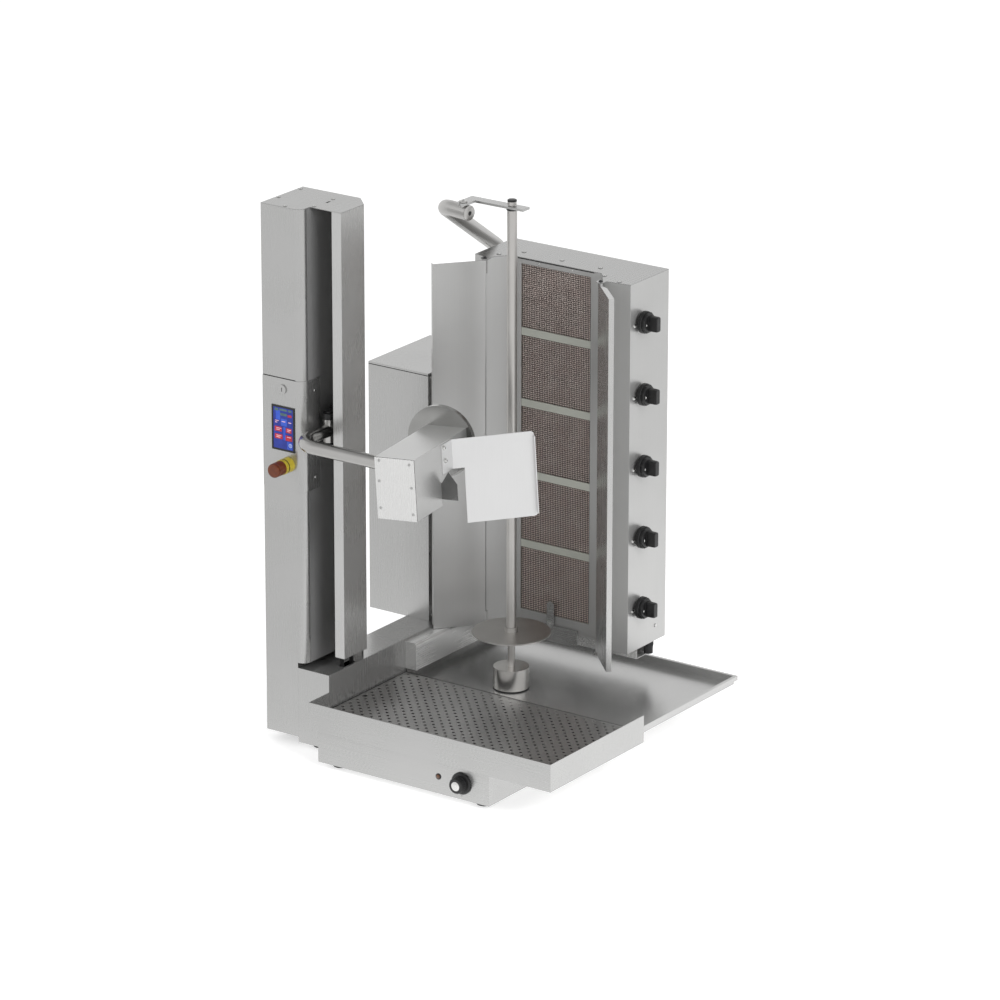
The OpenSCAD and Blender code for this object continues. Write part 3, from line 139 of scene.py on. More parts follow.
@dataclass(frozen=True)
class Finish:
    """A named surface finish, made into a material once."""

    name: str

    def material(self) -> bpy.types.Material:
        """Give the finish's material, made on first use."""
        made = bpy.data.materials.get(self.name)
        if made is None:
            made = bpy.data.materials.new(self.name)
            tree = fresh_tree(made)
            place = add_node(tree, "ShaderNodeTexCoord").outputs["Object"]
            shader = add_node(tree, "ShaderNodeBsdfPrincipled", links=self.wire(tree, place))
            add_node(tree, "ShaderNodeOutputMaterial", links={"Surface": shader.outputs[0]})
        return made

    def wire(self, tree: Tree, place: bpy.types.NodeSocket) -> Links:
        """Draw the finish's own pattern over the place and give the shader's inputs."""
        raise NotImplementedError

    def skin(self, tree: Tree, pattern: bpy.types.NodeSocket, stops: Sequence[tuple[float, str]],
             rough: Sequence[float] = (), relief: Links | None = None) -> Links:
        """Turn one pattern into colour and roughness, and a height into relief.

        Args:
            tree: the node tree.
            pattern: the value that varies over the surface.
            stops: two of its values, each with the sRGB hex colour there.
            rough: two of its values and the roughness at each, or nothing.
            relief: the inputs of the bump, or nothing.

        Returns:
            The shader's inputs.
        """
        tone = add_node(tree, "ShaderNodeValToRGB", {"stops": stops}, {0: pattern})
        made = {"Base Color": tone.outputs[0]}
        if rough:
            ends = dict(zip(("From Min", "From Max", "To Min", "To Max"), rough))
            span = add_node(tree, "ShaderNodeMapRange", links={"Value": pattern, **ends})
            made["Roughness"] = span.outputs[0]
        if relief:
            made["Normal"] = add_node(tree, "ShaderNodeBump", links=relief).outputs[0]
        return made


@dataclass(frozen=True)
class SheetSteel(Finish):
    """Satin stainless sheet, brushed along one direction.

    The brush leaves long fine lines, and rolling leaves soft clouds of tone. Real lines are about
    0.1 mm wide and too fine to show, so they are drawn 1 to 2 mm wide. The eye sees soft
    reflections and a slightly streaky grey.
    """

    light: str = "B7B7B6"
    dark: str = "B2B2B1"
    roughness: float = 0.27
    brush: Axis = Axis.Z
    line_mm: float = 1.2
    stroke_mm: float = 420.0
    cloud_mm: float = 120.0
    metallic: float = 0.84
    edge_mm: float = 0.7
    relief: float = 0.0008
    line_share: float = 0.45

    def wire(self, tree: Tree, place: bpy.types.NodeSocket) -> Links:
        """Draw lines and clouds in colour, roughness and bump, and round the sheet's edges."""
        spread = [1000.0 / self.line_mm] * 3
        spread[self.brush.value] = 1000.0 / self.stroke_mm
        drawn = add_node(tree, "ShaderNodeMapping", links={"Vector": place, "Scale": spread})
        lines = add_node(tree, "ShaderNodeTexNoise", links={
            "Vector": drawn.outputs[0], "Scale": 1.0, "Detail": 3.0, "Roughness": 0.6})
        clouds = add_node(tree, "ShaderNodeTexNoise", links={
            "Vector": place, "Scale": 1000.0 / self.cloud_mm, "Detail": 2.0, "Roughness": 0.5})
        mixed = add_node(tree, "ShaderNodeMix", links={
            0: self.line_share, 2: clouds.outputs[0], 3: lines.outputs[0]})
        edge = add_node(tree, "ShaderNodeBevel", {"samples": 4}, {"Radius": self.edge_mm / 1000})
        return {"Metallic": self.metallic, **self.skin(
            tree, mixed.outputs[0], [(0.3, self.dark), (0.7, self.light)],
            (0.3, 0.7, self.roughness + 0.012, self.roughness - 0.008),
            {"Height": lines.outputs[0], "Strength": self.relief, "Distance": 0.0002,
             "Normal": edge.outputs[0]})}


@dataclass(frozen=True)
class TurnedSteel(Finish):
    """Stainless tube, rod or disc, ground round its own axis.

    Grinding leaves rings square to the axis. They are drawn about 1 mm wide, because the real
    0.05 mm ones don't show. The eye sees a brighter metal than the sheet, with clear reflections.
    """

    light: str = "BCBBB9"
    dark: str = "AFAEAC"
    roughness: float = 0.22
    axis: Axis = Axis.Z
    rings: bool = False
    centre_mm: Spot = (0.0, 0.0, 0.0)
    ring_mm: float = 1.2
    cloud_mm: float = 45.45
    ring_share: float = 0.4

    def wire(self, tree: Tree, place: bpy.types.NodeSocket) -> Links:
        """Draw rings and clouds in colour and roughness, and the rings in bump."""
        at = add_node(tree, "ShaderNodeMapping", links={
            "Vector": place, "Location": tuple(-metres(np.array(self.centre_mm)))})
        kind = {"wave_type": "RINGS", "rings_direction": self.axis.name} if self.rings else {
            "wave_type": "BANDS", "bands_direction": self.axis.name}
        rings = add_node(tree, "ShaderNodeTexWave", kind, {
            "Vector": at.outputs[0], "Scale": 100 * math.pi / self.ring_mm, "Distortion": 1.5,
            "Detail": 2.0, "Detail Scale": 3.0})
        clouds = add_node(tree, "ShaderNodeTexNoise", links={
            "Vector": place, "Scale": 1000.0 / self.cloud_mm, "Detail": 3.0})
        mixed = add_node(tree, "ShaderNodeMix", links={
            0: self.ring_share, 2: clouds.outputs[0], 3: rings.outputs["Fac"]})
        return {"Metallic": 1.0, **self.skin(
            tree, mixed.outputs[0], [(0.2, self.dark), (0.8, self.light)],
            (0.2, 0.8, self.roughness + 0.03, self.roughness - 0.02),
            {"Height": rings.outputs["Fac"], "Strength": 0.012, "Distance": 0.0001})}


@dataclass(frozen=True)
class Coated(Finish):
    """Moulded plastic, rubber or paint with a fine grain and a little wear.

    Spark-eroded moulds and powder paint both give a fine pebble, drawn 0.6 to 1.5 mm wide where
    the real one is about 0.2 mm. The eye sees an even colour with a broken, soft highlight.
    """

    colour: str = "1C1C1D"
    worn: str = "2B2B2C"
    roughness: float = 0.42
    grain_mm: float = 0.8
    patch_mm: float = 18.0
    depth: float = 0.25
    metallic: float = 0.0
    glow: float = 0.0
    edge_mm: float = 0.6

    def wire(self, tree: Tree, place: bpy.types.NodeSocket) -> Links:
        """Draw the grain in bump and the wear in colour and roughness, with any glow."""
        grain = add_node(tree, "ShaderNodeTexNoise", links={
            "Vector": place, "Scale": 1000.0 / self.grain_mm, "Detail": 2.0})
        wear = add_node(tree, "ShaderNodeTexNoise", links={
            "Vector": place, "Scale": 1000.0 / self.patch_mm, "Detail": 4.0, "Roughness": 0.6})
        edge = add_node(tree, "ShaderNodeBevel", {"samples": 4}, {"Radius": self.edge_mm / 1000})
        made = self.skin(
            tree, wear.outputs[0], [(0.35, self.colour), (0.75, self.worn)],
            (0.3, 0.7, self.roughness + 0.06, self.roughness - 0.06),
            {"Height": grain.outputs[0], "Strength": self.depth, "Distance": 0.0002,
             "Normal": edge.outputs[0]})
        if self.glow:
            made["Emission Color"] = made["Base Color"]
        return {**made, "Metallic": self.metallic, "Emission Strength": self.glow}


@dataclass(frozen=True)
class Ceramic(Finish):
    """Pressed cordierite plaque of a gas burner, with rows of fine flame ports.

    The real ports are 1.2 mm holes 2.5 mm apart. They are drawn 4.5 mm apart so that they show
    behind the mesh. Heat leaves pink and brown clouds on the cream body.
    """

    pale: str = "FFF2EA"
    scorched: str = "F2DED6"
    # The ports' colour is painted shade inside the holes.
    port_shade: str = "6E5450"
    port_mm: float = 4.5
    scorch_mm: float = 35.71

    def wire(self, tree: Tree, place: bpy.types.NodeSocket) -> Links:
        """Draw the scorch clouds in colour, the ports' painted shade in colour and the ports in
        bump.
        """
        heat = add_node(tree, "ShaderNodeTexNoise", links={
            "Vector": place, "Scale": 1000.0 / self.scorch_mm, "Detail": 4.0, "Roughness": 0.65})
        ports = add_node(tree, "ShaderNodeTexVoronoi", {"feature": "F1"}, {
            "Vector": place, "Scale": 1000.0 / self.port_mm, "Randomness": 0.0})
        hole = add_node(tree, "ShaderNodeMapRange", links={
            "Value": ports.outputs["Distance"], "From Min": 0.22, "From Max": 0.32,
            "To Min": 0.0, "To Max": 1.0})
        made = self.skin(
            tree, heat.outputs[0], [(0.3, self.scorched), (0.7, self.pale)],
            relief={"Height": hole.outputs[0], "Strength": 0.5, "Distance": 0.0005})
        # Mix the ports' painted shade into the holes.
        port_shaded = add_node(tree, "ShaderNodeMix", {"data_type": "RGBA"}, {
            0: hole.outputs[0], 6: linear(self.port_shade), 7: made["Base Color"]})
        return {**made, "Roughness": 0.85, "Base Color": port_shaded.outputs[2]}


@dataclass(frozen=True)
class Glass(Finish):
    """Clear or dyed moulded lens and screen glass: a smooth skin over a deep even colour.

    Fingerprints are clouds about 17 mm wide that dull the gloss a little.
    """

    colour: str = "0C1030"
    edge: str = "070A1C"
    roughness: float = 0.08
    coat: float = 0.6
    print_mm: float = 16.67

    def wire(self, tree: Tree, place: bpy.types.NodeSocket) -> Links:
        """Draw the fingerprints in colour and roughness."""
        cloud = add_node(tree, "ShaderNodeTexNoise", links={
            "Vector": place, "Scale": 1000.0 / self.print_mm, "Detail": 3.0})
        return {"Coat Weight": self.coat, **self.skin(
            tree, cloud.outputs[0], [(0.35, self.edge), (0.65, self.colour)],
            (0.0, 1.0, self.roughness, self.roughness + 0.15))}


SHEET_UP = SheetSteel("Stainless_sheet_brushed_up")
SHEET_DEEP = SheetSteel("Stainless_sheet_brushed_deep", light="ABABAA", dark="A7A7A6",
                        brush=Axis.Y)
# A lighter copy of the stainless sheet for the right wing. The left wing is the same sheet, so the
# extra lightness is painted light.
SHEET_RIGHT_PAINTED_LIGHT = SheetSteel("Stainless_sheet_pale", light="C2C2C1", dark="BDBDBC")
SHEET_GUARD = SheetSteel("Stainless_sheet_guard", light="C4C4C3", dark="BEBEBD")
# A lighter, less metallic copy of the stainless sheet for the slide beams. They are the same steel
# as the pan, so their lighter tone is painted light.
BEAM_PAINTED_LIGHT = SheetSteel("Stainless_beam_sheet", light="E6E6E5", dark="E0E0DF", brush=Axis.Y,
                        metallic=0.66)
COVER_SHEET = SheetSteel("Stainless_cover_sheet", light="DCDCDB", dark="D8D8D7",
                         metallic=0.6)
SHELL_SHEET = SheetSteel("Stainless_shell_sheet", light="BABAB9", dark="B5B5B4",
                         roughness=0.32, metallic=0.66)
HOUSING_SHEET = SheetSteel("Stainless_housing_sheet", light="C4C4C3", dark="C0C0BF",
                           roughness=0.3, brush=Axis.Y, metallic=0.8)
# A dark copy of the sheet for the slice chute: its darkness is painted shade under the head.
CHUTE_PAINTED_SHADE = SheetSteel("Stainless_chute_sheet", light="7A7A79", dark="606060", roughness=0.2,
                         brush=Axis.Y, cloud_mm=30.0)
SHEET_LONG = SheetSteel("Stainless_sheet_brushed_long", brush=Axis.X)
PAN_SHEET = SheetSteel("Stainless_pan_sheet", light="BCBCBB", dark="B7B7B6", roughness=0.26,
                       brush=Axis.Y)
PLATE_SHEET = SheetSteel("Stainless_perforated_sheet", light="AFAEAD", dark="A6A5A4",
                         roughness=0.3, brush=Axis.Y, stroke_mm=90.0, edge_mm=0.4)
GUARD_SHEET = SheetSteel("Stainless_guard_polished", light="DEDEDE", dark="DADADA",
                         roughness=0.34, line_mm=2.4, stroke_mm=120.0)
# A darker, duller copy of the sheet for the tower's inner side: its darkness is painted shade and
# a painted reflection of the dark gap beside it.
SIDE_PANEL_PAINTED_SHADE = SheetSteel("Steel_panel_dark", light="9E9E9E", dark="929292", roughness=0.4,
                        stroke_mm=300.0, metallic=0.5)
TUBE_LONG = TurnedSteel("Stainless_tube_ground", light="B8B7B5", dark="ABAAA8", axis=Axis.X,
                        roughness=0.24)
TUBE_BENT = TurnedSteel("Stainless_support_tube_ground", light="C4C3C1", dark="B6B5B3",
                        axis=Axis.Z, roughness=0.34)
ROD = TurnedSteel("Stainless_rod_turned", light="CAC8C5", dark="BFBDBA", roughness=0.42)
CUP = TurnedSteel("Stainless_cup_turned", light="F0EEEB", dark="D2D0CD", roughness=0.24,
                  ring_mm=2.6)
BLADE_STEEL = TurnedSteel("Blade_steel_ground", light="AAAAA8", dark="8E8E8C", rings=True,
                          axis=Axis.Y, roughness=0.2, centre_mm=(356.6, 166.9, 705.9))
BRIGHT = TurnedSteel("Plated_steel_bright", light="E2E2E0", dark="C0C0BE", roughness=0.12,
                     ring_mm=0.8)
MOTOR = Coated("Cast_aluminium_housing", colour="7D7E80", worn="95969A", roughness=0.5,
               grain_mm=1.5, depth=0.5, metallic=0.8)
MOTOR_BLACK = Coated("Motor_enamel_black", colour="1A1A1B", worn="303031", roughness=0.35)
BLACK_PLASTIC = Coated("Polyamide_moulded_black", colour="0B0B0C", worn="151516", roughness=0.38)
KNOB_PLASTIC = Coated("Phenolic_knob_moulded", colour="0E0E0F", worn="1B1B1C", roughness=0.4,
                      grain_mm=0.7)
BEZEL = Glass("Screen_border_black", colour="06070F", edge="020308", roughness=0.2, coat=0.1)
RED_PLASTIC = Coated("Mushroom_cap_moulded_red", colour="5E2A10", worn="753813", roughness=0.36,
                     patch_mm=12.0, depth=0.12)
YELLOW_PLASTIC = Coated("Collar_moulded_yellow", colour="B9A52A", worn="CDBB3C", roughness=0.34,
                        patch_mm=12.0, depth=0.12)
RUBBER = Coated("Nitrile_rubber_foot", colour="151515", worn="242423", roughness=0.75,
                grain_mm=1.4, depth=0.6)
BELT = Coated("Neoprene_belt", colour="121212", worn="1E1E1E", roughness=0.7, grain_mm=1.2)
BRASS = Coated("Drawn_brass_pipe", colour="A98643", worn="C5A35A", roughness=0.28, metallic=1.0,
               depth=0.1)
ELEMENT = Coated("Oxidised_heater_sheath", colour="3B3A38", worn="575552", roughness=0.5,
                 metallic=0.7)
MESH_WIRE = Coated("Oxidised_mesh_wire", colour="433A38", worn="675B58", roughness=0.5,
                   metallic=0.5, patch_mm=30.0)
BURNER_STEEL = SheetSteel("Aluminised_burner_sheet", light="D0D2C9", dark="C3C5BC",
                          roughness=0.4, brush=Axis.X)
CERAMIC = Ceramic("Cordierite_plaque_pressed")
SCREEN_GLASS = Glass("Screen_glass_tinted")
LENS = Glass("Lamp_lens_amber", colour="6B4020", edge="3A210F", roughness=0.12)
INK = Coated("Printed_mark_black", colour="202020", worn="2A2A2A", roughness=0.6, depth=0.05)
WHITE_INK = Coated("Printed_mark_white", colour="D8D8D6", worn="E6E6E4", roughness=0.55,
                   depth=0.05)


# Surfaces

@dataclass
class Patch:
    """Points in shop millimetres and faces as arrays whose rows have one number of sides."""

    points: Array
    faces: list[NDArray[np.int64]]

    def moved(self, matrix: Array) -> "Patch":
        """Carry every point through a 4 by 4 matrix."""
        return Patch(self.points @ matrix[:3, :3].T + matrix[:3, 3], self.faces)

    def put(self, x: float, y: float, z: float, axis: Sequence[float] = UP) -> "Patch":
        """Turn +Z onto an axis and move the origin to a point."""
        return self.moved(facing(axis, (x, y, z)))

    def copied(self, matrices: Array) -> "Patch":
        """Repeat the surface, one copy for each 4 by 4 matrix of an (n, 4, 4) array."""
        count, size = len(matrices), len(self.points)
        points = np.einsum("nij,pj->npi", matrices[:, :3, :3], self.points)
        points += matrices[:, None, :3, 3]
        shift = np.arange(count)[:, None, None] * size
        faces = [(f[None] + shift).reshape(-1, f.shape[1]) for f in self.faces]
        return Patch(points.reshape(-1, 3), faces)


def joined(*patches: Patch) -> Patch:
    """Put several surfaces into one, with no shared points."""
    starts = np.cumsum([0] + [len(p.points) for p in patches[:-1]])
    faces = [f + s for p, s in zip(patches, starts) for f in p.faces]
    return Patch(np.vstack([p.points for p in patches]), faces)


def lofted(rings: Array, closed_ends: bool = True) -> Patch:
    """Join rings of equal length by quads.

    Ring i, point j meets ring i + 1, point j, and the last point of a ring meets its first. The
    rings turn anticlockwise seen from where they go, so the faces point outwards.

    Args:
        rings: an array (rings, points, 3) in millimetres.
        closed_ends: whether the first and the last ring are filled by one flat face each.

    Returns:
        The surface.
    """
    count, size = rings.shape[:2]
    index = np.arange(count * size).reshape(count, size)
    turned = np.roll(index, -1, axis=1)
    quads = np.stack([index[:-1], turned[:-1], turned[1:], index[1:]], axis=-1).reshape(-1, 4)
    faces = [quads]
    if closed_ends:
        faces += [index[:1, ::-1], index[-1:]]
    return Patch(rings.reshape(-1, 3), faces)


def netted(rings: Array) -> Patch:
    """Join the rings of many stacks by quads, each stack for itself.

    The faces point outwards where the rings turn clockwise seen from where they go.

    Args:
        rings: an array (stacks, rings, points, 3) in millimetres.

    Returns:
        The open surface.
    """
    index = np.arange(rings.size // 3).reshape(rings.shape[:3])
    turned = np.roll(index, -1, axis=2)
    quads = np.stack([index[:, :-1], index[:, 1:], turned[:, 1:], turned[:, :-1]], axis=-1)
    return Patch(rings.reshape(-1, 3), [quads.reshape(-1, 4)])


def circle(steps: int) -> Array:
    """Give unit circle points (cos t, sin t) at equal steps of t."""
    t = np.linspace(0.0, 2 * math.pi, steps, endpoint=False)
    return np.stack([np.cos(t), np.sin(t)], axis=1)


def revolved(profile: Sequence[Pair], steps: int, closed_ends: bool = True) -> Patch:
    """Turn a profile about +Z: a point (r, h) becomes (r cos t, r sin t, h).

    Args:
        profile: radius and height pairs, from the underside outwards, up, and inwards at the top.
        steps: points round the axis.
        closed_ends: whether the profile's two ends are filled flat.

    Returns:
        The surface.
    """
    rows = np.array(profile, float)
    ring = circle(steps)
    flat = rows[:, None, :1] * ring[None]
    tall = np.broadcast_to(rows[:, None, 1:], (len(rows), steps, 1))
    return lofted(np.concatenate([flat, tall], axis=2), closed_ends)


def shaped(outlines: Sequence[Array], heights: Sequence[float]) -> Patch:
    """Stack flat outlines of equal length at their heights along +Z and join them."""
    rings = [np.column_stack([o, np.full(len(o), h)]) for o, h in zip(outlines, heights)]
    return lofted(np.stack(rings))


def rounded_box(width: float, depth: float, radius: float, steps: int = 4) -> Array:
    """Give a rectangle's outline with round corners, anticlockwise about the origin.

    Each corner point is the inner corner's centre plus radius times (cos t, sin t), with t over
    the corner's quarter turn.
    """
    t = np.linspace(0.0, math.pi / 2, steps + 1)
    turn = np.arange(4)[:, None] * (math.pi / 2) + t[None]
    sign = np.array([[1, 1], [-1, 1], [-1, -1], [1, -1]], float)[:, None]
    centre = sign * (np.array([width, depth]) / 2 - radius)
    return (centre + radius * np.stack([np.cos(turn), np.sin(turn)], axis=2)).reshape(-1, 2)


def shrunk(outline: Array, by: float) -> Array:
    """Move each point of an anticlockwise outline inwards along its normal."""
    along = np.roll(outline, -1, axis=0) - np.roll(outline, 1, axis=0)
    along /= np.linalg.norm(along, axis=1, keepdims=True)
    return outline + by * np.stack([-along[:, 1], along[:, 0]], axis=1)


def slab(outline: Array, low: float, high: float, edge: float) -> Patch:
    """Raise an outline from low to high with both rims chamfered by edge."""
    inner = shrunk(outline, edge)
    return shaped([inner, outline, outline, inner], [low, low + edge, high - edge, high])


def screw_head(radius: float, height: float, recess: Recess) -> Patch:
    """Make a domed screw head standing on z = 0, with 24 points round it.

    Its dome falls as rings of radius r (1, 1, 0.93, 0.75, 0.52), and its recess is a ring whose
    radius depends on the angle t: a hexagon's a / cos(t mod 60 - 30), or a cross's
    a + b cos(2t)^6.

    Args:
        radius: the head's radius in millimetres.
        height: its height.
        recess: the drive.

    Returns:
        The closed surface.
    """
    ring = circle(24)
    t = np.linspace(0.0, 2 * math.pi, 24, endpoint=False)
    reach = 0.1 + 0.36 * np.cos(2 * t) ** 6
    if recess is Recess.HEX:
        reach = 0.36 / np.cos(np.mod(t, math.pi / 3) - math.pi / 6)
    drive = ring * reach[:, None]
    shares = [(1.0, 0.0), (1.0, 0.35), (0.93, 0.62), (0.75, 0.86), (0.52, 0.98)]
    outlines = [ring * s for s, _ in shares] + [drive, drive * 0.96]
    heights = [h for _, h in shares] + [1.0, 0.45]
    return shaped([o * radius for o in outlines], [h * height for h in heights])


def washer(radius: float) -> Patch:
    """Make a thin washer that shows round a pan head, standing on z = 0."""
    return revolved([(radius, 0.0), (radius, 0.25), (3.4, 0.3)], 24)


def facing(axis: Sequence[float], at: Sequence[float]) -> Array:
    """Give the 4 by 4 matrix that turns +Z onto an axis and moves the origin to a point."""
    turn = Vector((0, 0, 1)).rotation_difference(Vector(axis)).to_matrix()
    matrix = np.eye(4)
    matrix[:3, :3] = np.array(turn)
    matrix[:3, 3] = at
    return matrix


def scattered(patch: Patch, spots: Sequence[Sequence[float]], axis: Sequence[float]) -> Patch:
    """Repeat a surface made along +Z at several points, each facing one axis."""
    return patch.copied(np.stack([facing(axis, s) for s in spots]))


def piece(name: str, patch: Patch, finish: Finish, body: str,
          replaces: Sequence[str] = (), crease: float = 35.0) -> bpy.types.Object:
    """Put a surface into the scene as a finished piece that rides on a body.

    Args:
        name: the piece's name.
        patch: its surface in shop millimetres.
        finish: its finish.
        body: the CAD body that carries it.
        replaces: CAD nodes that it stands for.
        crease: the angle in degrees from which an edge stays sharp.

    Returns:
        The object.
    """
    mesh = bpy.data.meshes.new(name)
    rows = [row for block in patch.faces for row in block.tolist()]
    mesh.from_pydata(metres(patch.points).tolist(), [], rows)
    mesh.materials.append(finish.material())
    mesh.shade_smooth()
    mesh.set_sharp_from_angle(angle=math.radians(crease))
    mesh.update()
    made = bpy.data.objects.new(name, mesh)
    bpy.context.scene.collection.objects.link(made)
    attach(made, body)
    if replaces:
        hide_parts(*replaces)
    LOG.info("%s: %d faces on %s", name, len(rows), body)
    return made


def strips(boxes: Sequence[Box]) -> Patch:
    """Make thin bars with chamfered edges, each given as x0, x1, y0, y1, z0, z1."""
    bars = []
    for x0, x1, y0, y1, z0, z1 in boxes:
        thin = min(x1 - x0, y1 - y0, z1 - z0)
        outline = rounded_box(x1 - x0, y1 - y0, 0.3 * thin, 2)
        bars.append(slab(outline, z0, z1, 0.2 * thin).put((x0 + x1) / 2, (y0 + y1) / 2, 0.0))
    return joined(*bars)


def dress(finish: Finish, *nodes: str) -> None:
    """Give CAD nodes their finish."""
    for node in nodes:
        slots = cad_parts[node].data.materials
        slots.clear()
        slots.append(finish.material())
        LOG.info("%s: %s", node, finish.name)


# Sub-assemblies

@dataclass
class Studio:
    """The camera at the photograph's place, plain soft lamps, a white surround and a floor.

    The mirrored white falls from 1 to zenith between the two overhead heights. The mirrored floor
    has strength mirror[1] at the pool's middle and mirror[0] beyond its reach, in metres.
    """

    azimuth: float = 34.992
    elevation: float = 19.077
    roll: float = 0.075
    lens: float = 208.2
    sensor: float = 36.0
    eye: Spot = (6.8615, -9.76525, 4.684)
    aim: Spot = (0.0, 0.0, 0.55)
    ambient: float = 0.62
    zenith: float = 0.4
    overhead: Pair = (0.4, 0.95)
    mirror: Pair = (0.98, 1.45)
    pool: Pair = (0.6, 0.4)
    pool_reach: Pair = (0.35, 1.9)
    floor_glow: float = 0.55
    floor_half: float = 40.0
    lamps: tuple[tuple[str, Spot, float, float], ...] = (
        ("Key_right", (4.2, -1.2, 3.0), 2.6, 170.0),
        ("Fill_left", (-3.6, -4.2, 3.2), 3.0, 70.0),
        ("Top_soft", (0.3, 0.6, 4.6), 3.0, 10.0))

    def camera(self) -> None:
        """Set the camera with b = back, r = right and u = b x r, rolled by a small angle."""
        a, e, k = (math.radians(v) for v in (self.azimuth, self.elevation, self.roll))
        back = Vector((math.sin(a) * math.cos(e), -math.cos(a) * math.cos(e), math.sin(e)))
        right = Vector((math.cos(a), math.sin(a), 0.0))
        up = back.cross(right)
        r = right * math.cos(k) + up * math.sin(k)
        u = up * math.cos(k) - right * math.sin(k)
        data = bpy.data.cameras.new("Photo_camera")
        data.lens, data.sensor_width, data.clip_end = self.lens, self.sensor, 200.0
        made = bpy.data.objects.new("Photo_camera", data)
        made.matrix_world = Matrix((
            (r.x, u.x, back.x, self.eye[0]), (r.y, u.y, back.y, self.eye[1]),
            (r.z, u.z, back.z, self.eye[2]), (0, 0, 0, 1)))
        bpy.context.scene.collection.objects.link(made)
        bpy.context.scene.camera = made

    def seen_white(self, tree: Tree, high: bpy.types.NodeSocket) -> bpy.types.NodeSocket:
        """Give the high strength for camera, glossy and transmission rays, else the ambient."""
        path = add_node(tree, "ShaderNodeLightPath")
        first = add_node(tree, "ShaderNodeMath", {"operation": "MAXIMUM"}, {
            0: path.outputs["Is Camera Ray"], 1: path.outputs["Is Glossy Ray"]})
        second = add_node(tree, "ShaderNodeMath", {"operation": "MAXIMUM"}, {
            0: first.outputs[0], 1: path.outputs["Is Transmission Ray"]})
        return add_node(tree, "ShaderNodeMapRange", links={
            "Value": second.outputs[0], "To Min": self.ambient, "To Max": high}).outputs[0]

    def surround(self) -> None:
        """Make the world white where it is seen, dimmer overhead, and a soft light elsewhere."""
        world = bpy.data.worlds.new("Studio_white")
        tree = fresh_tree(world)
        way = add_node(tree, "ShaderNodeTexCoord").outputs["Generated"]
        height = add_node(tree, "ShaderNodeSeparateXYZ", links={0: way}).outputs[2]
        above = add_node(tree, "ShaderNodeMapRange", {"interpolation_type": "SMOOTHSTEP"}, {
            "Value": height, "From Min": self.overhead[0], "From Max": self.overhead[1],
            "To Min": 1.0, "To Max": self.zenith})
        light = add_node(tree, "ShaderNodeBackground", links={
            "Color": linear("FFFFFF"), "Strength": self.seen_white(tree, above.outputs[0])})
        add_node(tree, "ShaderNodeOutputWorld", links={"Surface": light.outputs[0]})
        bpy.context.scene.world = world

    def floor(self) -> None:
        """Lay a plane under the feet that looks white and keeps a soft shadow.

        In the metal it mirrors as an even white, with a brighter pool at the right of the object.
        """
        made = bpy.data.materials.new("Floor_matt_white")
        tree = fresh_tree(made)
        place = add_node(tree, "ShaderNodeTexCoord").outputs["Object"]
        cloud = add_node(tree, "ShaderNodeTexNoise", links={"Vector": place, "Scale": 3.0})
        tone = add_node(tree, "ShaderNodeValToRGB", {
            "stops": [(0.3, "E2E2E2"), (0.7, "E6E6E6")]}, {0: cloud.outputs[0]})
        path = add_node(tree, "ShaderNodeLightPath")
        glow = add_node(tree, "ShaderNodeMapRange", links={
            "Value": path.outputs["Is Camera Ray"], "To Min": 0.0, "To Max": self.floor_glow})
        shader = add_node(tree, "ShaderNodeBsdfPrincipled", links={
            "Base Color": tone.outputs[0], "Roughness": 1.0, "Specular IOR Level": 0.0,
            "Emission Color": linear("FFFFFF"), "Emission Strength": glow.outputs[0]})
        away = add_node(tree, "ShaderNodeVectorMath", {"operation": "DISTANCE"}, {
            0: place, 1: (*self.pool, 0.0)})
        pool = add_node(tree, "ShaderNodeMapRange", {"interpolation_type": "SMOOTHSTEP"}, {
            "Value": away.outputs["Value"], "From Min": self.pool_reach[0],
            "From Max": self.pool_reach[1], "To Min": self.mirror[1], "To Max": self.mirror[0]})
        mirror = add_node(tree, "ShaderNodeEmission", links={"Strength": pool.outputs[0]})
        mixed = add_node(tree, "ShaderNodeMixShader", links={
            0: path.outputs["Is Glossy Ray"], 1: shader.outputs[0], 2: mirror.outputs[0]})
        add_node(tree, "ShaderNodeOutputMaterial", links={"Surface": mixed.outputs[0]})
        h = self.floor_half
        mesh = bpy.data.meshes.new("Floor")
        mesh.from_pydata([(-h, -h, 0), (h, -h, 0), (h, h, 0), (-h, h, 0)], [], [(0, 1, 2, 3)])
        mesh.materials.append(made)
        floor = bpy.data.objects.new("Floor", mesh)
        bpy.context.scene.collection.objects.link(floor)

    def lamp(self, name: str, at: Sequence[float], size: float, power: float) -> None:
        """Hang one square soft lamp that faces the middle of the object."""
        data = bpy.data.lights.new(name, "AREA")
        data.size, data.energy = size, power
        made = bpy.data.objects.new(name, data)
        made.location = at
        made.visible_glossy = False
        way = Vector(self.aim) - Vector(at)
        made.rotation_euler = way.to_track_quat("-Z", "Y").to_euler()
        bpy.context.scene.collection.objects.link(made)

    def build(self) -> None:
        """Set up the whole studio."""
        self.camera()
        self.surround()
        self.floor()
        for lamp in self.lamps:
            self.lamp(*lamp)
        bpy.context.scene.view_settings.view_transform = "Standard"


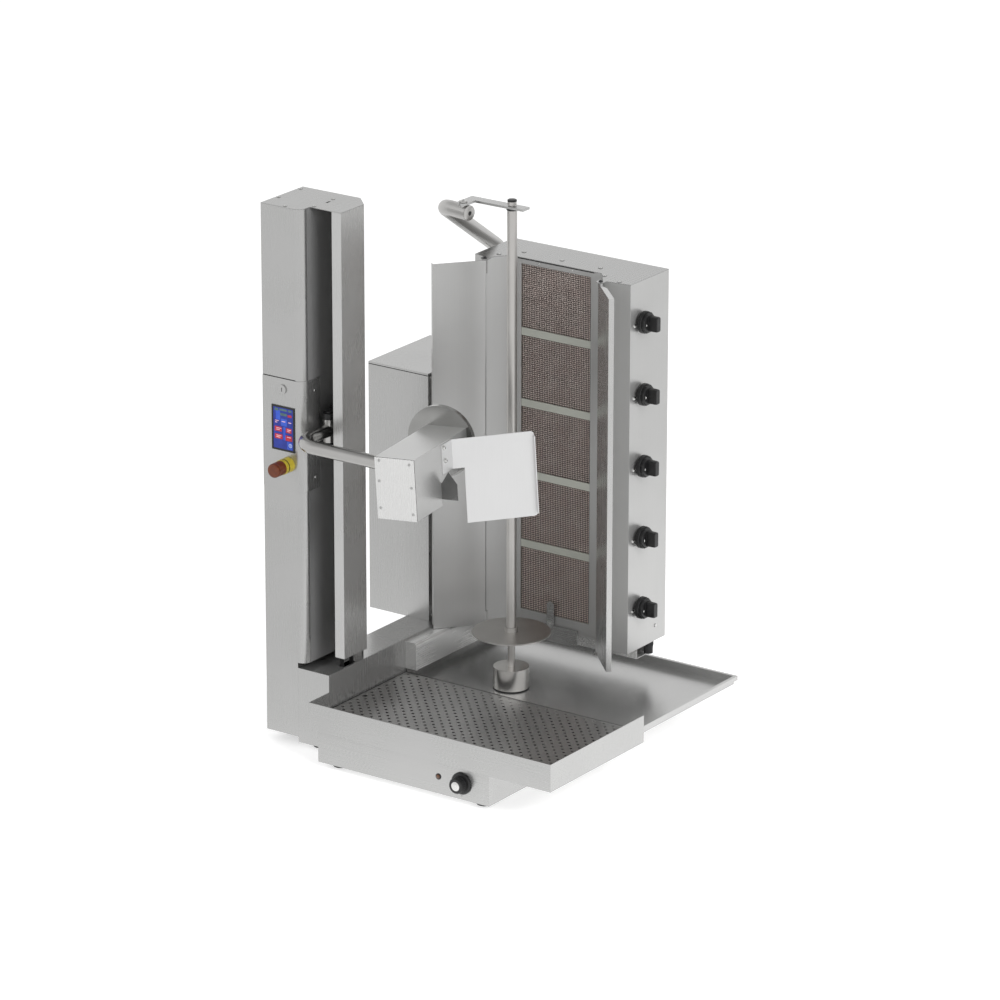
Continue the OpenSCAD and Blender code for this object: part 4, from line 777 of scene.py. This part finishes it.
@dataclass
class LiftTower:
    """Closed column, its inner side in painted shade, the slide guard, and what runs behind them.
    """

    cap_z: float = 1222.0
    cap_spots: tuple[Pair, ...] = ((7, 55), (7, 134), (60, 8), (112, 42), (112, 110))
    side_x: float = 109.2
    side_spots: tuple[Pair, ...] = ((42, 610), (42, 808))
    box_x: float = 150.0
    box_spots: tuple[Pair, ...] = ((417, 186), (417, 745))
    joints: tuple[Box, ...] = (
        (2.0, 88.0, -1.3, 0.0, 835.0, 836.4), (-13.5, 149.5, 404.5, 405.5, 751.0, 752.6),
        (149.5, 150.5, 405.5, 639.5, 751.0, 752.6))

    def dress(self) -> None:
        """Give the tower's nodes their finishes."""
        dress(SHEET_UP, "tower_shell", "control_panel", "mast", "side_rail", "rear_box")
        dress(SHEET_GUARD, "slide_guard")
        dress(SHEET_DEEP, "tower_cap")
        # The inner side panel gets painted shade.
        dress(SIDE_PANEL_PAINTED_SHADE, "tower_side_panel")
        dress(MOTOR_BLACK, "arm_pivot_pin", "carriage", "lift_motor")
        dress(BRIGHT, "guide_rail")
        dress(SHEET_LONG, "key_lock")
        dress(BELT, "lift_belt")
        dress(MOTOR, "top_pulley", "drive_pulley")

    def screws(self) -> None:
        """Stand the casing's pan heads on the cap, the panel's side and the rear housing."""
        head = screw_head(3.5, 1.8, Recess.CROSS)
        caps = [(x, y, self.cap_z) for x, y in self.cap_spots]
        sides = [(self.side_x, y, z) for y, z in self.side_spots]
        sides += [(self.box_x, y, z) for y, z in self.box_spots]
        piece("Casing_pan_screws", joined(scattered(head, caps, UP),
                                          scattered(head, sides, RIGHT)),
              BRIGHT, "frame", ["casing_screws"])
        piece("Casing_washers", scattered(washer(4.6), caps, UP), MOTOR_BLACK, "frame")

    def seams(self) -> None:
        """Lay the dark joint lines of the control panel and of the rear housing's lid."""
        piece("Casing_joint_lines", strips(self.joints), RUBBER, "frame")

    def build(self) -> None:
        """Dress the tower, add its screws and its joint lines."""
        self.dress()
        self.screws()
        self.seams()


@dataclass
class OperatorPanel:
    """The screen's picture and the emergency stop's cap and ring."""

    glass_y: float = -2.4
    stop_x: float = 68.0
    stop_z: float = 642.0
    stop_r: float = 15.8
    cap_y: float = -23.5
    collar_r: float = 16.9
    collar_y: float = -1.2
    icon_x: float = 75.0
    icon_z: float = 686.0
    screen: tuple[tuple[str, float, Coated, tuple[Rect, ...]], ...] = (
        ("Screen_field_blue", 0.08,
         Coated("Display_blue", colour="16267C", worn="263A9C", glow=0.25),
         ((29.6, 82.4, 675.4, 768.6),)),
        ("Screen_fields_light", 0.11,
         Coated("Display_light_blue", colour="2A48B4", worn="3A62C4", glow=0.25),
         ((36, 48, 740, 762), (50, 66, 728, 744), (56, 62, 696, 726), (66, 80, 676.5, 694))),
        ("Screen_fields_red", 0.14,
         Coated("Display_red", colour="A02038", worn="C8302C", glow=0.2),
         ((33, 52, 714, 725), (63, 78, 714, 725), (33, 54, 697, 708), (62, 80, 696, 708),
          (68, 79, 750, 755.5))),
        ("Screen_fields_grey", 0.12,
         Coated("Display_grey", colour="3E5A5E", worn="5A7472", glow=0.2),
         ((33, 43, 760.5, 766.5), (46, 66, 762, 766.5), (69, 79, 762, 766.5),
          (48, 66, 751, 757))),
        ("Screen_lines_pale", 0.2,
         Coated("Display_line", colour="D8A8B8", worn="E8C0C8", glow=0.3),
         ((37, 51, 720.6, 722.2), (37, 47, 717, 718.6), (66, 77, 720.6, 722.2),
          (66, 74, 717, 718.6), (37, 51, 703.6, 705.2), (37, 48, 700, 701.6),
          (66, 77, 703.6, 705.2), (34, 44, 737, 738.8), (34, 40, 733, 734.8),
          (52, 62, 737, 738.8), (70, 78, 737, 738.8))))

    def fields(self, name: str, lift: float, finish: Finish, boxes: Sequence[Rect]) -> None:
        """Lay thin rounded fields, given as x0, x1, z0, z1, on the glass."""
        flat = []
        for x0, x1, z0, z1 in boxes:
            outline = rounded_box(x1 - x0, z1 - z0, min(1.2, (z1 - z0) / 2.2), 3)
            flat.append(slab(outline, 0.0, lift, 0.03).put(
                (x0 + x1) / 2, self.glass_y, (z0 + z1) / 2, FRONT))
        piece(name, joined(*flat), finish, "frame")

    def icon(self) -> None:
        """Draw a pale round icon: a ring from 3.1 to 4.4 mm with a dot at its middle."""
        ring = revolved([(3.1, 0.0), (4.4, 0.0), (4.4, 0.2), (3.1, 0.2), (3.1, 0.0)], 24, False)
        dot = revolved([(1.3, 0.0), (1.3, 0.2)], 16)
        piece("Screen_icon", joined(ring, dot).put(self.icon_x, self.glass_y, self.icon_z, FRONT),
              Coated("Display_pale", colour="B9C8E6", worn="C9D4EE", glow=0.3), "frame")

    def stop(self) -> None:
        """Turn the mushroom cap: straight sides, a round shoulder and a slightly domed face."""
        t, r = np.linspace(0.0, math.pi / 2, 7), self.stop_r
        shoulder = [(r - 4.0 + 4.0 * math.cos(a), 30.0 + 4.0 * math.sin(a)) for a in t]
        cap = revolved([(7.0, -9.0), (7.0, 0.0), (r - 0.8, 0.0), (r, 1.0), (r, 22.0),
                        (r - 0.6, 23.0), (r, 24.0), *shoulder, (6.0, 34.4), (1.0, 34.5)], 56)
        piece("Stop_cap", cap.put(self.stop_x, self.cap_y, self.stop_z, FRONT), RED_PLASTIC,
              "estop", ["estop_button"])
        r = self.collar_r
        collar = revolved([(r + 0.2, 0.0), (r + 0.3, 0.6), (r, 2.0), (r, 15.6), (r - 0.8, 16.0),
                           (r - 0.8, 18.4), (r, 18.8), (r, 26.2), (r - 1.0, 27.0), (8.0, 27.0)],
                          56)
        at = facing(FRONT, (self.stop_x, self.collar_y, self.stop_z))
        piece("Stop_collar", collar.moved(at), YELLOW_PLASTIC, "frame",
              ["estop_collar"])
        band = revolved([(r - 0.9, 15.9), (r + 0.1, 16.2), (r + 0.1, 18.2), (r - 0.9, 18.5)], 56)
        piece("Stop_collar_ring", band.moved(at), BLACK_PLASTIC, "frame")

    def build(self) -> None:
        """Dress the operator's side of the tower."""
        dress(BEZEL, "screen_bezel")
        dress(SCREEN_GLASS, "screen_glass")
        for row in self.screen:
            self.fields(*row)
        self.icon()
        self.stop()


@dataclass
class SlicerArm:
    """The bent arm, its head with the blade, and the thickness guard."""

    origin: Spot = (411.5, -78.0, 674.0)
    yaw: float = 8.3
    tilt: float = -3.5
    cover_spots: tuple[Pair, ...] = (
        (-36, 62), (36, 58), (-38.5, 16), (38.5, 6.5), (-38.5, -44), (39, -52.5))
    tab_u: float = 49.0
    tab_spots: tuple[Pair, ...] = ((133.5, 57.5), (138.0, 28.0))
    gasket: tuple[Box, ...] = (
        (-47.3, 47.3, 1.9, 3.2, 67.2, 68.8), (-47.3, 47.3, 1.9, 3.2, -68.8, -67.2),
        (46.0, 47.3, 1.9, 3.2, -68.0, 68.0))

    def head_place(self) -> Array:
        """Give the head's frame: turned by tilt about Y, then by yaw about Z, then moved."""
        a, b = math.radians(self.tilt), math.radians(self.yaw)
        tilt = np.array([[math.cos(a), 0, math.sin(a)], [0, 1, 0], [-math.sin(a), 0, math.cos(a)]])
        yaw = np.array([[math.cos(b), -math.sin(b), 0], [math.sin(b), math.cos(b), 0], [0, 0, 1]])
        matrix = np.eye(4)
        matrix[:3, :3] = yaw @ tilt
        matrix[:3, 3] = self.origin
        return matrix

    def screws(self) -> None:
        """Set six low screws in the cover and two bright socket screws in the guard's tab."""
        place = self.head_place()
        low = scattered(screw_head(3.2, 1.1, Recess.HEX),
                        [(u, 0.0, w) for u, w in self.cover_spots], FRONT)
        piece("Head_cover_screws", low.moved(place), SHEET_UP, "head")
        disc = revolved([(6.0, 0.0), (6.0, 0.8), (5.6, 1.0)], 32)
        tall = joined(*(scattered(shape, [(u, v, w) for v, w in self.tab_spots], RIGHT)
                        for shape, u in ((disc, self.tab_u),
                                         (screw_head(4.6, 4.2, Recess.HEX), self.tab_u + 0.9))))
        piece("Guard_tab_screws", tall.moved(place), BRIGHT, "head")
        piece("Head_cover_gasket", strips(self.gasket).moved(place), RUBBER, "head")

    def build(self) -> None:
        """Dress the arm and the head."""
        dress(TUBE_LONG, "arm_tube")
        dress(HOUSING_SHEET, "head_housing")
        # The chute gets painted shade.
        dress(CHUTE_PAINTED_SHADE, "slice_chute")
        dress(COVER_SHEET, "head_cover")
        dress(MOTOR, "blade_motor")
        dress(BRIGHT, "blade_shaft")
        dress(BLADE_STEEL, "round_blade", "blade_guard")
        dress(GUARD_SHEET, "guard_plate")
        self.screws()


@dataclass
class Trays:
    """Drip tray, its perforated plate and the shallow rear pan."""

    plate_x: Pair = (175.5, 810.5)
    plate_y: Pair = (-74.0, 282.5)
    plate_z: Pair = (95.5, 97.0)
    leg_z: float = 74.5
    leg_y: float = 221.5
    pitch_x: float = 25.0
    pitch_y: float = 13.54
    first_x: float = 188.9
    first_y: float = 13.5
    rows: Sequence[int] = range(-5, 20)
    columns: int = 25
    hole_r: float = 3.5
    flare: float = 1.3
    finger: Spot = (188.9, 108.28, 6.6)

    def cells(self) -> Patch:
        """Make the perforated sheet from one cell for each hole.

        A cell is a rectangle of one pitch with 12 rim points, whose spacing of a quarter pitch
        meets the shifted row beside it, and a 12 sided hole joined to them. Rows alternate by
        half a pitch. Punching flares a hole to the underside.
        """
        w, h = self.pitch_x, self.pitch_y
        low, high = self.plate_z
        rim = np.array([(0.5, 0), (0.5, 0.5), (0.25, 0.5), (0, 0.5), (-0.25, 0.5), (-0.5, 0.5),
                        (-0.5, 0), (-0.5, -0.5), (-0.25, -0.5), (0, -0.5), (0.25, -0.5),
                        (0.5, -0.5)]) * [w, h]
        hole = circle(12)
        centres = np.concatenate([np.column_stack([
            self.first_x + (0.0 if k % 2 else w / 2) + w * np.arange(n), np.full(
                n, self.first_y + h * k)])
            for k in self.rows for n in [self.columns - 1 + k % 2]])
        near = np.hypot(*(centres - self.finger[:2]).T) < 3.0
        radius = np.where(near, self.finger[2], self.hole_r)[:, None, None]
        outer = centres[:, None] + rim[None]
        inner = centres[:, None] + radius * hole[None]
        under = centres[:, None] + np.where(radius > 4, radius, radius * self.flare) * hole[None]

        def level(flat: Array, z: float) -> Array:
            """Lift flat points to one height."""
            return np.concatenate([flat, np.full((len(centres), 12, 1), z)], axis=2)

        return netted(np.stack([level(outer, low), level(under, low), level(inner, high),
                                level(outer, high)], axis=1))

    def margins(self) -> Patch:
        """Fill the sheet round its cells, and turn its two legs down."""
        x0, x1 = self.plate_x
        y0, y1 = self.plate_y
        w, h = self.pitch_x, self.pitch_y
        left, right = self.first_x - w / 2, self.first_x + w * (self.columns - 0.5)
        front, back = (self.first_y + (k - 0.5) * h for k in (self.rows[0], self.rows[-1] + 1))
        spans = [(x0, x1, y0, front), (x0, x1, back, y1), (x0, left, front, back),
                 (right, x1, front, back)]
        spans += [(a, a + w / 2, self.first_y + (k - 0.5) * h, self.first_y + (k + 0.5) * h)
                  for a in (left, right - w / 2) for k in self.rows if k % 2 == 0]
        blocks = [slab(rounded_box(b - a, d - c, 0.02, 1), *self.plate_z, 0.01).put(
            (a + b) / 2, (c + d) / 2, 0) for a, b, c, d in spans]
        leg = slab(rounded_box(1.5, self.leg_y - y0, 0.5, 2), self.leg_z, self.plate_z[0], 0.3)
        legs = [leg.put(x, (y0 + self.leg_y) / 2, 0) for x in (x0 + 0.75, x1 - 0.75)]
        return joined(*blocks, *legs)

    def build(self) -> None:
        """Dress the trays, lay the perforated plate and paint shadow lines along its edges."""
        dress(SHEET_LONG, "drip_tray")
        dress(PAN_SHEET, "rear_pan")
        plate = joined(self.cells(), self.margins())
        piece("Perforated_drip_plate", plate, PLATE_SHEET, "plate", ["drip_plate"],
              crease=60.0)
        x0, x1 = self.plate_x
        y0, y1 = self.plate_y
        z = self.plate_z[1]
        # Dark strips along the plate's left and back edges are painted shadow in the gap at its
        # rim.
        lines = strips([(x0 - 0.8, x0 + 1.0, y0, y1, z, z + 0.3),
                        (x0, x1, y1 - 1.1, y1 + 0.5, z, z + 0.3)])
        piece("Plate_joint_lines", lines, RUBBER, "plate")


@dataclass
class BurnerCabinet:
    """Gas cabinet with five mesh-covered burners, its wings, knobs and lock."""

    window_x: Pair = (309.0, 502.0)
    window_z: float = 199.0
    window_h: float = 155.0
    pitch: float = 165.0
    count: int = 5
    mesh_pitch: float = 4.5
    mesh_y: float = 534.1
    wire_w: float = 0.72
    wire_t: float = 0.3
    top_z: float = 1024.0
    top_spots: tuple[Pair, ...] = ((296, 565), (401, 560), (502, 561), (260, 520),
                                   (542, 517.5), (594, 498.5))
    pin_x: Pair = (252.0, 559.0)
    pin_y: float = 478.0
    front_y: float = 530.0
    joint_z: float = 1020.2
    lip_shares: Pair = (0.27, 0.72)
    lip_drop: float = 4.0
    knob_y: float = 533.0
    knob_z: float = 272.0
    side_x: float = 627.0
    side_screw: Spot = (627.0, 603.6, 206.7)
    lock_pivot: Spot = (397.5, 525.0, 185.0)
    igniter_y: float = 510.0
    igniter_drop: float = 5.0

    def wires(self, first: Array, second: Array, shift: int, across: bool) -> Patch:
        """Weave parallel wires over a grid.

        A wire at first[i] passes each second[j] at y = middle + (-1)^(i + j + shift) t, so
        crossing wires lie on opposite sides. Its section is a flat diamond, faces inwards.
        """
        i, j = np.meshgrid(np.arange(len(first)), np.arange(len(second)), indexing="ij")
        bend = self.mesh_y + self.wire_t * np.where((i + j + shift) % 2, 1.0, -1.0)
        a, b = np.meshgrid(first, second, indexing="ij")
        middle = np.stack([b, bend, a] if across else [a, bend, b], axis=-1)
        side = np.array([0, 0, self.wire_w]) if across else np.array([self.wire_w, 0, 0])
        flat = np.array([0, self.wire_t, 0])
        ring = np.stack([side, flat, -side, -flat])
        if across:
            ring = ring[::-1]
        made = netted(middle[:, :, None] + ring[None, None])
        index = np.arange(len(made.points)).reshape(*a.shape, 4)
        ends = np.concatenate([index[:, 0], index[:, -1, ::-1]])
        return Patch(made.points, [*made.faces, ends])

    def mesh(self) -> None:
        """Weave the wire cloth of all five burners."""
        xs = np.arange(self.window_x[0] + 1.0, self.window_x[1] - 0.5, self.mesh_pitch)
        parts = []
        for k in range(self.count):
            low = self.window_z + k * self.pitch
            zs = np.arange(low + 1.0, low + self.window_h - 0.5, self.mesh_pitch)
            parts += [self.wires(xs, zs, 0, False), self.wires(zs, xs, 1, True)]
        piece("Burner_wire_cloth", joined(*parts), MESH_WIRE, "cabinet",
              ["burner_meshes"], crease=80.0)

    def knob(self) -> Patch:
        """Shape a gas knob along +Z: neck, skirt, eight sided hub and bar grip."""
        skirt = revolved([(8.6, 0.0), (9.0, 0.4), (9.0, 5.8), (24.0, 6.0), (25.0, 6.8),
                          (25.0, 14.4), (23.8, 15.8), (17.0, 16.0)], 56)
        eight = rounded_box(45.0, 45.0, 13.2, 1)
        hub = shaped([eight * 0.96, eight * 0.98, eight * 0.98, eight * 0.93, eight * 0.86],
                     [15.6, 17.2, 21.4, 23.4, 24.0])
        bar = rounded_box(15.0, 34.0, 3.0, 3)
        grip = shaped([bar, bar * [0.98, 0.98], bar * [0.95, 0.95], bar * [0.82, 0.92]],
                      [23.4, 42.0, 45.6, 47.0])
        return joined(skirt, hub, grip)

    def knobs(self) -> None:
        """Put a knob, its pointer mark and its igniter pin on each valve."""
        shape = self.knob()
        mark = slab(rounded_box(2.4, 5.0, 1.1, 3), 24.0, 24.2, 0.05).put(-13.6, -2.0, 0.0)
        turn = np.array([[0.0, 0, 1, 0], [1, 0, 0, 0], [0, 1, 0, 0], [0, 0, 0, 1]])
        for k in range(self.count):
            z = self.knob_z + (self.count - 1 - k) * self.pitch
            place = turn.copy()
            place[:3, 3] = (self.side_x + 1.0, self.knob_y, z)
            body = f"gas_knob_{k + 1}"
            piece(f"Gas_knob_moulding_{k + 1}", shape.moved(place), KNOB_PLASTIC, body,
                  [body], crease=28.0)
            piece(f"Gas_knob_mark_{k + 1}", mark.moved(place), WHITE_INK, body)
        pins = [(self.side_x, self.igniter_y, self.knob_z - self.igniter_drop + k * self.pitch)
                for k in range(self.count)]
        pin = revolved([(3.8, 0.0), (3.8, 0.9), (3.0, 1.4), (2.9, 2.4), (1.8, 3.2), (0.3, 3.4)],
                       24)
        piece("Igniter_pins", scattered(pin, pins, RIGHT), BRIGHT, "cabinet")

    def screws(self) -> None:
        """Screw the cabinet's top, its side panel, its lip and the lock plate, and paint the
        shadow under the top's edge.
        """
        tops = [(x, y, self.top_z) for x, y in self.top_spots]
        pins = [(x, self.pin_y, self.top_z) for x in self.pin_x]
        bright = joined(
            scattered(screw_head(3.6, 1.9, Recess.CROSS), tops, UP),
            scattered(screw_head(4.0, 2.2, Recess.CROSS), [self.side_screw], RIGHT),
            scattered(screw_head(5.0, 2.6, Recess.HEX), [self.lock_pivot], FRONT))
        piece("Cabinet_screws", bright, BRIGHT, "cabinet")
        dark = joined(scattered(washer(5.4), tops, UP),
                      scattered(screw_head(4.8, 3.0, Recess.HEX), pins, UP))
        piece("Cabinet_washers", dark, MOTOR_BLACK, "cabinet")
        x0, x1 = self.window_x
        y, z = self.front_y, self.joint_z
        lips = [(x0 + share * (x1 - x0), y, z - self.lip_drop) for share in self.lip_shares]
        piece("Cabinet_lip_screws",
              scattered(screw_head(2.6, 1.2, Recess.CROSS), lips, FRONT), BRIGHT, "cabinet")
        # A dark strip under the front edge of the top is painted shadow beneath its overhang.
        piece("Cabinet_top_joint", strips([(x0 - 5.0, x1 + 5.0, y - 0.4, y, z, z + 2.2)]),
              RUBBER, "cabinet")

    def build(self) -> None:
        """Dress the cabinet and what it carries."""
        dress(SHELL_SHEET, "cabinet_shell", "left_wing")
        # The right wing's lighter tone is painted light.
        dress(SHEET_RIGHT_PAINTED_LIGHT, "right_wing")
        dress(SHEET_DEEP, "cabinet_top")
        # The slide beams' lighter tone is painted light.
        dress(BEAM_PAINTED_LIGHT, "slide_beams")
        dress(SHEET_LONG, "slide_lock")
        dress(BURNER_STEEL, "burner_frame", "burner_boxes")
        dress(CERAMIC, "burner_plaques")
        dress(BRASS, "gas_manifold")
        dress(MOTOR_BLACK, "gas_inlet")
        self.mesh()
        self.knobs()
        self.screws()


@dataclass
class SpitDrive:
    """The spit with its disc and cup, the latch that steadies it and the bent support."""

    centre: Pair = (404.0, 364.0)
    top_z: float = 1206.0
    seal_z: float = 85.0
    clamp_z: float = 1186.8
    arm_end: Spot = (317.0, 326.0, 1173.5)
    arm_way: Spot = (0.982, -0.187, 0.0)
    pivot: Spot = (302.0, 325.0, 1196.0)

    def fittings(self) -> None:
        """Add the spit's plug and clamp, the cup's seal, the support's end and a bolt."""
        cap = revolved([(10.0, 0.0), (10.4, 0.6), (10.4, 3.2), (9.2, 4.2), (2.0, 4.6)], 40)
        piece("Spit_top_plug", cap.put(*self.centre, self.top_z - 0.2), BLACK_PLASTIC, "spit")
        seal = revolved([(37.0, 0.0), (40.4, 0.2), (40.6, 2.2), (38.0, 3.0)], 64)
        piece("Cup_seal_ring", seal.put(*self.centre, self.seal_z), BLACK_PLASTIC, "spit")
        plug = revolved([(16.4, 0.0), (16.4, 1.0), (14.0, 2.6), (5.2, 3.0), (4.6, 1.4),
                         (0.5, 1.4)], 48)
        piece("Support_end_plug", plug.put(*self.arm_end, self.arm_way), TUBE_BENT, "frame")
        # A black disc at the floor of the plug's recess is painted shade inside the bore.
        pit = revolved([(4.5, 1.2), (4.5, 1.8), (0.5, 1.8)], 32)
        piece("Support_end_bore", pit.put(*self.arm_end, self.arm_way), BLACK_PLASTIC, "frame")
        piece("Latch_pivot_bolt", screw_head(7.0, 5.0, Recess.HEX).put(*self.pivot), BRIGHT,
              "latch")
        grip = revolved([(11.2, 0.0), (12.6, 0.5), (12.6, 3.0), (11.2, 3.5)], 40)
        piece("Spit_clamp_ring", grip.put(*self.centre, self.clamp_z), MOTOR_BLACK, "spit")

    def build(self) -> None:
        """Dress the spit group."""
        dress(ROD, "spit")
        dress(CUP, "drive_cup")
        dress(MOTOR, "spit_motor")
        dress(TUBE_BENT, "support_arm")
        dress(SHEET_LONG, "top_latch")
        self.fittings()


@dataclass
class Base:
    """The low housing with its heater, thermostat and lamp."""

    dial_x: float = 577.5
    dial_z: float = 38.0
    front_y: float = -70.0
    lamp_x: float = 516.0
    lamp_z: float = 39.5

    def dial(self) -> None:
        """Shape the thermostat knob: a skirt, a grooved hub and a bright centre cap.

        The hub's outline is r (1 + 0.02 cos 24 t), for the grip's flutes.
        """
        t = np.linspace(0.0, 2 * math.pi, 96, endpoint=False)
        ring = circle(96)
        flute = (1 + 0.02 * np.cos(24 * t))[:, None] * ring
        skirt = revolved([(24.0, 0.0), (25.0, 0.8), (25.0, 2.4), (22.5, 5.0), (19.0, 5.4)], 64)
        hub = shaped([flute * 19.0, flute * 18.6, ring * 17.6, flute * 18.2, flute * 17.2,
                      ring * 15.6, ring * 11.0, ring * 10.6],
                     [4.5, 9.0, 9.8, 10.6, 21.5, 23.2, 23.2, 22.6])
        place = facing(FRONT, (self.dial_x, self.front_y - 1.0, self.dial_z))
        piece("Thermostat_moulding", joined(skirt, hub).moved(place), BLACK_PLASTIC,
              "thermostat", ["thermostat_knob"], crease=28.0)
        cap = revolved([(10.4, 22.2), (10.4, 23.3), (9.6, 23.8), (1.0, 24.0)], 40)
        piece("Thermostat_centre_cap", cap.moved(place), BRIGHT, "thermostat")
        turns = np.radians(np.arange(30, 331, 30.0))
        tick = slab(rounded_box(0.7, 2.6, 0.3, 2), 0.0, 0.2, 0.05).put(0.0, 23.0, 2.55)
        spins = np.zeros((len(turns), 4, 4))
        spins[:, 0, 0], spins[:, 0, 1] = np.cos(turns), -np.sin(turns)
        spins[:, 1, 0], spins[:, 1, 1] = np.sin(turns), np.cos(turns)
        spins[:, 2, 2] = spins[:, 3, 3] = 1.0
        piece("Thermostat_scale", tick.copied(spins).moved(place), WHITE_INK, "thermostat")
        out = slab(rounded_box(0.9, 3.2, 0.3, 2), 0.0, 0.2, 0.05).put(0.0, 29.0, 0.0)
        quarter = out.copied(spins[[2, 5, 8]]).put(
            self.dial_x, self.front_y, self.dial_z, FRONT)
        piece("Thermostat_panel_marks", quarter, INK, "frame")

    def lamp(self) -> None:
        """Turn the pilot lamp's black rim and its small domed amber lens."""
        place = facing(FRONT, (self.lamp_x, self.front_y, self.lamp_z))
        rim = revolved([(7.0, 0.0), (7.0, 1.0), (6.4, 1.6), (5.0, 1.6), (5.0, 1.0)], 40)
        lens = revolved([(4.9, 0.8), (4.9, 1.4), (4.2, 2.8), (2.6, 3.7), (0.4, 4.0)], 40)
        piece("Pilot_lamp_rim", rim.moved(place), BLACK_PLASTIC, "frame")
        piece("Pilot_lamp_lens", lens.moved(place), LENS, "frame",
              ["pilot_lamp"])

    def build(self) -> None:
        """Dress the base."""
        dress(SHEET_LONG, "base_box")
        dress(RUBBER, "base_feet")
        dress(ELEMENT, "heating_element")
        self.dial()
        self.lamp()


def main() -> None:
    """Build the studio and every sub-assembly."""
    logging.basicConfig(level=logging.INFO, format="%(name)s %(message)s")
    for part in (Studio(), LiftTower(), OperatorPanel(), SlicerArm(), Trays(), BurnerCabinet(),
                 SpitDrive(), Base()):
        LOG.info("building %s", type(part).__name__)
        part.build()


if __name__ == "__main__":
    main()
